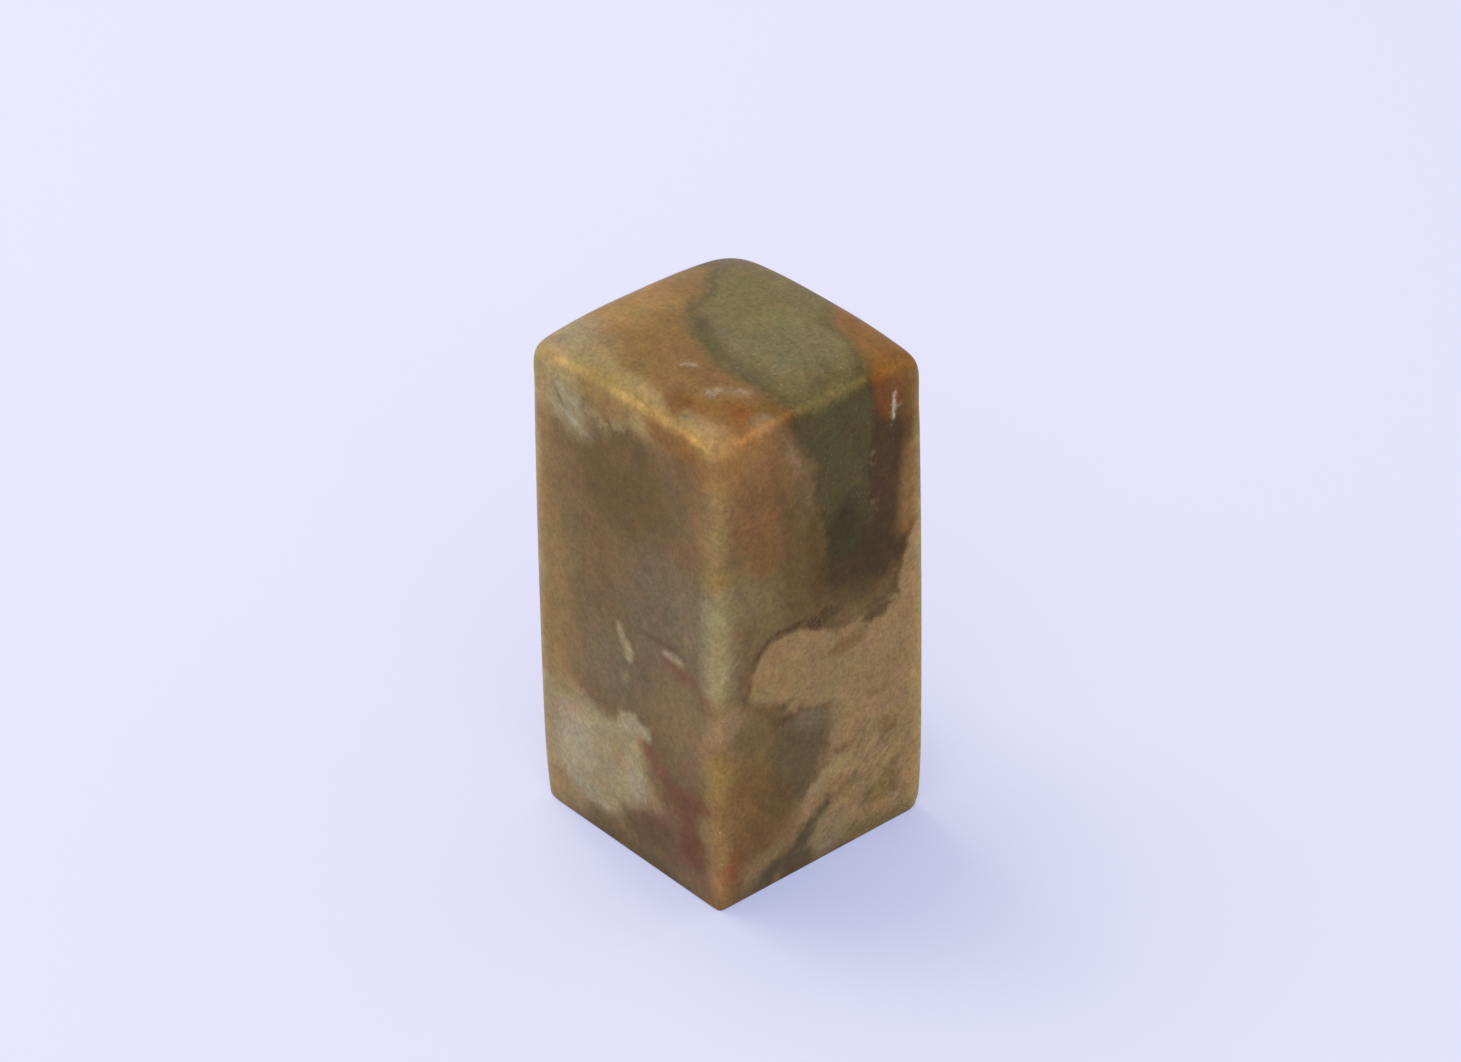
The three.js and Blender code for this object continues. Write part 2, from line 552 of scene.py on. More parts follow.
class NodeBench:
    """Adds nodes to one node tree and joins them."""

    def __init__(self, tree: bpy.types.NodeTree) -> None:
        """Takes the tree to work on."""
        self.tree = tree

    def add(self, kind: str, **settings: object) -> bpy.types.Node:
        """Adds one node.

        Args:
            kind: the node's type.
            settings: its properties.

        Returns:
            The node.
        """
        node = self.tree.nodes.new(kind)
        for key, value in settings.items():
            setattr(node, key, value)
        return node

    def put(self, socket: Socket, value: Value) -> None:
        """Joins a socket to another one, or writes a plain value in it.

        Args:
            socket: the input.
            value: the output that feeds it, or the value.
        """
        if isinstance(value, bpy.types.NodeSocket):
            self.tree.links.new(value, socket)
        else:
            socket.default_value = value

    def math(self, operation: str, *values: Value, clamp: bool = False) -> Socket:
        """Adds a Math node.

        Args:
            operation: what it does.
            values: its inputs, in order.
            clamp: whether the result is kept between 0 and 1.

        Returns:
            The result.
        """
        node = self.add("ShaderNodeMath", operation=operation, use_clamp=clamp)
        for socket, value in zip(node.inputs, values):
            self.put(socket, value)
        return node.outputs[0]

    def vector(self, operation: str, *values: Value, scale: Value = 1.0) -> Socket:
        """Adds a Vector Math node.

        Args:
            operation: what it does.
            values: its vector inputs, in order.
            scale: the factor of the operation SCALE.

        Returns:
            The result: a number for LENGTH, and a vector otherwise.
        """
        node = self.add("ShaderNodeVectorMath", operation=operation)
        for socket, value in zip(node.inputs, values):
            self.put(socket, value)
        if operation == "SCALE":
            self.put(node.inputs["Scale"], scale)
        return node.outputs["Value" if operation == "LENGTH" else "Vector"]

    def mix_colour(self, share: Value, first: Value, second: Value, blend: str = "MIX") -> Socket:
        """Adds a Mix node for colours.

        Args:
            share: how much of the second colour there is.
            first: the first colour.
            second: the second colour.
            blend: how the two are mixed.

        Returns:
            The mixed colour.
        """
        return self._mix("Color", (share, first, second), data_type="RGBA", blend_type=blend)

    def mix_value(self, share: Value, first: Value, second: Value) -> Socket:
        """Adds a Mix node for numbers.

        Args:
            share: how much of the second number there is.
            first: the first number.
            second: the second number.

        Returns:
            The mixed number.
        """
        return self._mix("Float", (share, first, second), data_type="FLOAT")

    def _mix(self, kind: str, values: tuple[Value, ...], **settings: object) -> Socket:
        """Adds a Mix node, whose sockets of each kind are told apart by their identifiers.

        Args:
            kind: what the identifiers of the mixed sockets end in.
            values: the share of the second value, and the two values.
            settings: the node's properties.

        Returns:
            The mixed value.
        """
        node = self.add("ShaderNodeMix", **settings)
        sockets = {socket.identifier: socket for socket in node.inputs}
        for name, value in zip(("Factor_Float", f"A_{kind}", f"B_{kind}"), values):
            self.put(sockets[name], value)
        return next(socket for socket in node.outputs if socket.identifier == f"Result_{kind}")

    def step(self, value: Value, low: Value, high: Value) -> Socket:
        """A smooth step, from 0 at the low value to 1 at the high one, which may be the smaller of the two.

        Args:
            value: the number to turn into a share.
            low: where the share is 0.
            high: where the share is 1.

        Returns:
            The share.
        """
        node = self.add("ShaderNodeMapRange", interpolation_type="SMOOTHSTEP")
        for name, number in (("Value", value), ("From Min", low), ("From Max", high)):
            self.put(node.inputs[name], number)
        return node.outputs["Result"]

    def swing(self, noise: Value, reach: Value) -> Socket:
        """Turns a noise round 0.5 into a factor that swings round 1.

        Args:
            noise: the noise, from 0 to 1.
            reach: how far the factor swings for a noise that swings by 1.

        Returns:
            The factor.
        """
        return self.math("MULTIPLY_ADD", self.math("SUBTRACT", noise, 0.5), reach, 1.0)

    def noise(
        self, place: Value, scale: float, detail: float = 2.0, roughness: float = 0.5
    ) -> bpy.types.Node:
        """Adds a Noise Texture node.

        Args:
            place: where to read it.
            scale: how many lumps it has in a unit of length.
            detail: how many finer layers it has.
            roughness: how strong the finer layers are.

        Returns:
            The node, with its outputs Fac and Color.
        """
        node = self.add("ShaderNodeTexNoise", noise_dimensions="3D")
        settings = {"Vector": place, "Scale": scale, "Detail": detail, "Roughness": roughness}
        for name, value in settings.items():
            self.put(node.inputs[name], value)
        return node

    def group(self, tree: bpy.types.NodeTree, **values: Value) -> dict[str, Socket]:
        """Places a node group.

        Args:
            tree: the group.
            values: its inputs by name, with a low line for a space.

        Returns:
            Its outputs by name.
        """
        node = self.add("ShaderNodeGroup", node_tree=tree)
        for name, value in values.items():
            self.put(node.inputs[name.replace("_", " ")], value)
        return {socket.name: socket for socket in node.outputs}


# The stone's minerals


class Mineral(Enum):
    """The colours of the stone's minerals, as the light that each gives back in red, green and blue. A few
    zones also use them for painted shade and a painted highlight, as noted there.
    """

    WALNUT = (0.192, 0.115, 0.045)
    DARK_WALNUT = (0.160, 0.090, 0.024)
    OCHRE = (0.310, 0.190, 0.066)
    PALE_OCHRE = (0.345, 0.235, 0.110)
    BAND_OCHRE = (0.325, 0.195, 0.066)
    YELLOW_OCHRE = (0.345, 0.252, 0.100)
    BAND_CREAM = (0.440, 0.320, 0.140)
    CAP_YELLOW = (0.325, 0.215, 0.076)
    CAP_GOLD = (0.430, 0.280, 0.110)
    CAP_BROWN = (0.240, 0.134, 0.038)
    CAP_ORANGE = (0.345, 0.200, 0.062)
    CAP_WHITE = (0.370, 0.285, 0.180)
    LILAC_BROWN = (0.186, 0.124, 0.060)
    LILAC_GREY = (0.290, 0.190, 0.105)
    WARM_TAN = (0.255, 0.155, 0.064)
    RIDGE_CREAM = (0.300, 0.236, 0.128)
    RIDGE_TAN = (0.275, 0.188, 0.080)
    RIDGE_OCHRE = (0.275, 0.172, 0.050)
    RIDGE_FOOT = (0.285, 0.165, 0.066)
    WINE = (0.160, 0.055, 0.017)
    PALE_WINE = (0.187, 0.085, 0.034)
    DARK_WINE = (0.145, 0.073, 0.025)
    CREAM = (0.375, 0.285, 0.158)
    FRINGE_TAN = (0.355, 0.222, 0.108)
    TAWNY = (0.190, 0.098, 0.026)
    EDGE_CREAM = (0.410, 0.330, 0.170)
    EDGE_OCHRE = (0.370, 0.260, 0.105)
    RIDGE_ORANGE = (0.300, 0.150, 0.048)
    PALE_CREAM = (0.450, 0.380, 0.270)
    BONE = (0.520, 0.440, 0.330)
    RUST = (0.240, 0.100, 0.018)
    BRICK = (0.240, 0.066, 0.018)
    DARK_RUST = (0.175, 0.070, 0.006)
    RUST_RED = (0.200, 0.064, 0.010)
    OLIVE_BROWN = (0.135, 0.078, 0.020)
    PINK_BROWN = (0.225, 0.112, 0.038)
    WARM_RED = (0.360, 0.172, 0.052)
    PINK_CREAM = (0.440, 0.290, 0.170)
    MOSS_BROWN = (0.205, 0.132, 0.050)
    UMBER = (0.150, 0.080, 0.024)
    BURNT_ORANGE = (0.112, 0.056, 0.007)
    STONE_GREEN = (0.188, 0.142, 0.056)
    BLUE_GREEN = (0.182, 0.150, 0.072)
    DARK_GREEN = (0.090, 0.068, 0.019)
    DEEP_GREEN = (0.044, 0.032, 0.004)
    RIM_GREEN = (0.085, 0.060, 0.022)
    PLUM = (0.066, 0.034, 0.005)
    PLUM_RED = (0.085, 0.038, 0.008)
    EDGE_ORANGE = (0.165, 0.082, 0.013)
    CORNER_ORANGE = (0.260, 0.115, 0.025)
    TAN = (0.325, 0.204, 0.092)
    STREAK_TAN = (0.285, 0.178, 0.082)
    TONGUE_TAN = (0.345, 0.222, 0.092)
    PALE_TAN = (0.350, 0.255, 0.130)
    GREY_TAN = (0.282, 0.204, 0.112)
    RUSSET_TAN = (0.210, 0.116, 0.042)
    FOOT_TAN = (0.225, 0.145, 0.052)
    BLUE_GREY = (0.205, 0.158, 0.090)
    GREY_GREEN = (0.138, 0.090, 0.036)
    OUTLINE = (0.082, 0.040, 0.010)
    DARK_OLIVE = (0.106, 0.076, 0.033)


@dataclass(frozen=True)
class Lobe:
    """One rounded part of a mineral zone: an ellipsoid, in millimetres and degrees."""

    place: Triple
    radii: Triple
    turn: Triple = (0.0, 0.0, 0.0)


class Side(Enum):
    """A face of the block: the axis that it looks along, and where it lies on it, in millimetres."""

    RIGHT = (0, 12.6)
    LEFT = (0, -12.6)
    BACK = (1, 12.3)
    FRONT = (1, -12.3)
    TOP = (2, 49.6)
    BASE = (2, 0.0)

    def lobe(
        self, across: float, along: float, wide: float, high: float, tilt: float = 0.0, deep: float = 3.0
    ) -> Lobe:
        """A lobe that shows on this face.

        Args:
            across: its middle along X, or along Y on the left and right sides.
            along: its middle up the block, or along Y on the top and the base.
            wide: its half size across.
            high: its half size along.
            tilt: how far it is turned, in degrees: a wide lobe then rises towards +across.
            deep: how far it reaches into the stone.

        Returns:
            The lobe.
        """
        axis, level = self.value
        if axis == 0:
            return Lobe((level, across, along), (deep, wide, high), (tilt, 0.0, 0.0))
        if axis == 1:
            return Lobe((across, level, along), (wide, deep, high), (0.0, -tilt, 0.0))
        return Lobe((across, along, level), (wide, high, deep), (0.0, 0.0, tilt))


@dataclass(frozen=True)
class Rim:
    """A line of another mineral along the border of a zone, in millimetres."""

    colour: Mineral
    inside: float
    width: float
    strength: float
    ragged: float = 0.35


@dataclass(frozen=True)
class Zone:
    """One mineral zone: its colour, the lobes that it is made of, and how it meets the stone round it."""

    colour: Mineral
    lobes: tuple[Lobe, ...]
    edge: float = 1.5
    ragged: float = 0.3
    strength: float = 1.0
    grit: float = 0.2
    rim: Rim | None = None


FRONT, RIGHT, TOP, LEFT, BACK, BASE = (
    Side.FRONT.lobe, Side.RIGHT.lobe, Side.TOP.lobe, Side.LEFT.lobe, Side.BACK.lobe, Side.BASE.lobe
)

# The masses that run through the block
BODY_ZONES = (
    Zone(Mineral.OCHRE, (Lobe((-14.5, -9, 22), (7, 12, 30)),), edge=6),
    Zone(Mineral.DARK_WALNUT, (FRONT(0.5, 39.5, 6, 5.5, deep=5),), edge=4),
    Zone(Mineral.LILAC_BROWN, (FRONT(7, 27, 6.3, 8, tilt=20, deep=4), FRONT(-1.5, 20, 5, 4)), edge=5),
    Zone(Mineral.LILAC_GREY, (FRONT(8.6, 29, 1.8, 4),), edge=3.5, strength=0.4),
    Zone(Mineral.OCHRE, (FRONT(-7.5, 19.5, 3.2, 5),), edge=5, strength=0.35),
    Zone(Mineral.WARM_TAN, (FRONT(8.5, 18.5, 4, 4),), edge=5, strength=0.8),
    Zone(Mineral.PINK_BROWN, (RIGHT(-6.9, 41.5, 3.8, 8.5, tilt=4),), edge=3.5),
    Zone(Mineral.MOSS_BROWN, (RIGHT(-6, 29.5, 4.5, 4.5),), edge=4, strength=0.8),
    Zone(Mineral.UMBER, (RIGHT(-3.3, 33.5, 2, 6.5, tilt=6),), edge=3, strength=0.9),
    Zone(Mineral.EDGE_ORANGE, (RIGHT(11, 36, 4, 14, deep=4),), edge=2.5),
    Zone(Mineral.OCHRE, (RIGHT(12.8, 36, 1.7, 15, deep=3),), edge=2.4, strength=0.8),
    Zone(Mineral.CORNER_ORANGE, (RIGHT(9.8, 35.5, 1.3, 6, deep=2),), edge=2.4, strength=0.65),
    Zone(Mineral.RIDGE_TAN, (RIGHT(-9.2, 32.5, 1.8, 3.4),), edge=2.4, strength=0.5),
    Zone(Mineral.TAWNY, (RIGHT(-6.4, 36.2, 1.3, 2.2),), edge=2.2, strength=0.8),
)

FRONT_ZONES = (
    Zone(Mineral.BAND_OCHRE, (FRONT(0, 49.2, 15, 3.9, deep=4),), edge=2.2),
    # The yellow band along the front's top edge: partly the stone's own ochre, partly a painted highlight
    Zone(Mineral.YELLOW_OCHRE, (FRONT(-3, 50.3, 13, 2.6, deep=4),), edge=2.5),
    Zone(Mineral.CAP_WHITE, (FRONT(-9.4, 48.4, 2.6, 1.1),), edge=2.4, strength=0.6),
    Zone(Mineral.BAND_CREAM, (FRONT(-8.6, 46.6, 3, 1.8, tilt=-10),), edge=2.5, strength=0.85),
    Zone(Mineral.RUST, (FRONT(8, 46.3, 3.6, 1.3, tilt=-6),), edge=2, ragged=0.5, strength=0.75),
    Zone(
        Mineral.CORNER_ORANGE,
        (FRONT(10.7, 45, 1, 0.9), FRONT(4.3, 47.3, 0.9, 0.5)),
        edge=1.6,
        ragged=0.5,
        strength=0.6,
    ),
    Zone(Mineral.PINK_BROWN, (FRONT(-7.4, 34.4, 3, 2.6), FRONT(-3, 31, 3.2, 2.2)), edge=4, strength=0.4),
    Zone(Mineral.PINK_BROWN, (FRONT(9.2, 35.8, 2.4, 1.5),), edge=2.6, strength=0.45),
    Zone(
        Mineral.PALE_WINE,
        (FRONT(2.2, 31.8, 1.8, 0.4, tilt=16, deep=1),),
        edge=1.4,
        ragged=0.4,
        strength=0.3,
    ),
    Zone(Mineral.RIDGE_ORANGE, (FRONT(10.2, 41.5, 1.4, 4.8),), edge=2.6, strength=0.6),
    Zone(Mineral.RIDGE_TAN, (Lobe((12.4, -12.1, 42), (1.5, 1.5, 7)),), edge=2.8),
    Zone(Mineral.RIDGE_CREAM, (Lobe((12.4, -12.2, 28.5), (1.7, 1.7, 6.3)),), edge=3),
    Zone(Mineral.RIDGE_OCHRE, (Lobe((12.2, -11.8, 34.8), (2.2, 1.8, 1)),), edge=2, strength=0.6),
    Zone(Mineral.LILAC_GREY, (Lobe((12.4, -12.1, 19.8), (1.7, 1.7, 2.4)),), edge=2.6, strength=0.9),
    Zone(Mineral.RIDGE_OCHRE, (Lobe((12.4, -11.6, 14), (1.8, 2, 2.8)),), edge=3.2, strength=0.9),
    Zone(Mineral.BAND_CREAM, (FRONT(-9.4, 44.2, 1.6, 2),), edge=2.4, strength=0.8, grit=0.4),
    Zone(
        Mineral.CREAM, (FRONT(-6.7, 43.7, 3, 2.1, tilt=-20),), edge=2.2, ragged=0.4, strength=0.75, grit=0.5
    ),
    Zone(Mineral.PALE_OCHRE, (FRONT(-3.2, 43.6, 2, 0.7),), edge=1.8, ragged=0.4, strength=0.35),
    Zone(Mineral.PALE_CREAM, (FRONT(-6.3, 43, 1.9, 0.6, tilt=-28, deep=1),), edge=0.9, strength=0.75),
    Zone(
        Mineral.PALE_CREAM,
        (FRONT(-7, 45.2, 1.9, 0.35, tilt=-18, deep=1),),
        edge=0.8,
        ragged=0.5,
        strength=0.45,
    ),
    Zone(Mineral.OLIVE_BROWN, (FRONT(-7.6, 44.2, 1.6, 0.22, tilt=-40, deep=1),), edge=0.6, strength=0.4),
    Zone(
        Mineral.PALE_OCHRE,
        (
            FRONT(-3.6, 45, 1, 0.5, deep=1),
            FRONT(-2.2, 44.5, 1, 0.4, tilt=20, deep=1),
            FRONT(-0.2, 45.1, 1, 0.4, deep=1),
        ),
        edge=0.9,
        ragged=0.6,
        strength=0.8,
    ),
    Zone(Mineral.RUST, (FRONT(9, 44.4, 2.2, 1.2),), edge=2, strength=0.3),
    Zone(
        Mineral.DARK_WALNUT,
        (FRONT(-3.4, 43.2, 0.9, 0.6), FRONT(1.8, 43.4, 1.6, 0.9, tilt=-30)),
        edge=1.6,
        strength=0.6,
    ),
    Zone(Mineral.BAND_CREAM, (FRONT(2.5, 46.4, 1.1, 0.8, deep=1),), edge=1.4, ragged=0.5, strength=0.6),
    Zone(
        Mineral.CREAM,
        (
            FRONT(-0.2, 24, 0.5, 0.9, tilt=12),
            FRONT(0.5, 22.6, 0.8, 0.7, tilt=-50),
            FRONT(0.5, 21.7, 0.4, 0.5),
        ),
        edge=0.8,
        ragged=0.2,
    ),
    Zone(Mineral.CREAM, (FRONT(0.3, 19.5, 0.6, 0.5, deep=1),), edge=1.2, ragged=0.5, strength=0.35),
    Zone(Mineral.OUTLINE, (FRONT(5.5, 25.4, 3.4, 0.45, tilt=-5, deep=1),), edge=1, strength=0.4),
    Zone(Mineral.PALE_WINE, (FRONT(7.8, 23.4, 2.2, 0.7, deep=1),), edge=1.2, strength=0.75),
    Zone(Mineral.CREAM, (FRONT(7.1, 24.3, 1.5, 0.5, tilt=4, deep=1),), edge=0.7, ragged=0.12, strength=0.9),
    Zone(Mineral.PALE_WINE, (FRONT(11, 21.5, 1.2, 1.4, deep=1.5),), edge=1.6, strength=0.6),
    Zone(Mineral.PALE_WINE, (FRONT(6.5, 5.5, 5.5, 3.8),), edge=3, strength=0.8),
    Zone(Mineral.PALE_WINE, (FRONT(4.4, 11.9, 3, 1, tilt=-24),), edge=1.6, strength=0.9),
    Zone(
        Mineral.WINE,
        (FRONT(9, 10, 3, 1.5, tilt=4), FRONT(8.8, 7, 1.4, 2.6)),
        edge=2,
        ragged=0.4,
        strength=0.8,
    ),
    Zone(Mineral.DARK_WINE, (FRONT(3.3, 4, 3.4, 1.8, tilt=20),), edge=2.2),
    Zone(Mineral.WARM_TAN, (FRONT(11.4, 8.2, 1.5, 1.3),), edge=1.8, strength=0.9),
    Zone(Mineral.WINE, (FRONT(8.8, 5, 1.9, 1.6, tilt=-15),), edge=2, ragged=0.4, strength=0.8),
    Zone(
        Mineral.FRINGE_TAN,
        (FRONT(2.6, 8, 1.9, 1.6, tilt=-10), FRONT(4, 7.4, 1.2, 0.6)),
        edge=2,
        ragged=0.4,
        strength=0.8,
        grit=0.5,
    ),
    Zone(
        Mineral.CREAM,
        (
            FRONT(-8.6, 9.4, 6, 5.6, deep=2.5),
            FRONT(-0.9, 8.8, 4, 3.5, tilt=18),
            FRONT(-4.2, 4.6, 3.4, 2),
            FRONT(0.8, 12, 1.7, 2),
            FRONT(-2.2, 12.4, 2.4, 1.5),
            FRONT(-4.6, 12.2, 2.4, 1.8),
            LEFT(-10.5, 8.5, 4.4, 5.2, tilt=-14),
            LEFT(-6.6, 4.6, 3, 2.4, tilt=-20),
        ),
        edge=2.2,
        grit=0.5,
    ),
    Zone(
        Mineral.CREAM, (FRONT(0.3, 14.3, 1.8, 1.3, tilt=15), FRONT(2.4, 14.3, 1.2, 0.6, tilt=-30)), edge=0.9
    ),
    Zone(
        Mineral.PALE_CREAM,
        (FRONT(0.2, 14.4, 1.2, 0.9), FRONT(2.1, 14.4, 0.8, 0.3)),
        edge=1.4,
        strength=0.35,
    ),
    Zone(Mineral.PALE_OCHRE, (FRONT(-9, 2.2, 3.4, 1.6),), edge=2.4, strength=0.8, grit=0.5),
    Zone(Mineral.OCHRE, (FRONT(-12, 4, 2, 10, deep=2),), edge=2.6, strength=0.6),
    Zone(Mineral.EDGE_CREAM, (Lobe((-12.6, -12.3, 24), (1.4, 1.4, 30)),), edge=2, strength=0.6),
    Zone(Mineral.OCHRE, (FRONT(-9.5, 14.6, 3, 1.6, tilt=-12),), edge=2.6, strength=0.7),
    Zone(Mineral.PALE_CREAM, (FRONT(-6.6, 8.4, 2, 3.6, tilt=-12),), edge=3, strength=0.6, grit=0.5),
    Zone(Mineral.PALE_CREAM, (FRONT(1.3, 9, 1.3, 1.6),), edge=2, strength=0.4),
    Zone(Mineral.PALE_OCHRE, (FRONT(-1.1, 11, 1.1, 1.7),), edge=1.6, strength=0.5),
    Zone(Mineral.PALE_CREAM, (FRONT(-4, 3.1, 1, 0.4, tilt=15, deep=1),), edge=0.9, strength=0.5),
    # Darker along the foot of the front face: painted shade where the block meets the floor
    Zone(Mineral.OLIVE_BROWN, (FRONT(0.5, 0, 6.6, 1.7),), edge=2.2, ragged=0.4, strength=0.85),
    Zone(
        Mineral.PALE_CREAM,
        (FRONT(-6.4, 3.8, 1.9, 0.9, tilt=-14),),
        edge=2,
        ragged=0.4,
        strength=0.45,
        grit=0.5,
    ),
    Zone(Mineral.RIDGE_FOOT, (Lobe((12.5, -12.2, 3.6), (1.3, 1.3, 7)),), edge=1.8, strength=0.9),
    Zone(Mineral.PINK_BROWN, (Lobe((12.2, -12, 0.6), (2, 2, 1.4)),), edge=1.8, strength=0.8),
    Zone(Mineral.BRICK, (RIGHT(-10.6, 4.4, 1.3, 1.9, tilt=-20, deep=1.2),), edge=2.4, strength=0.75),
)

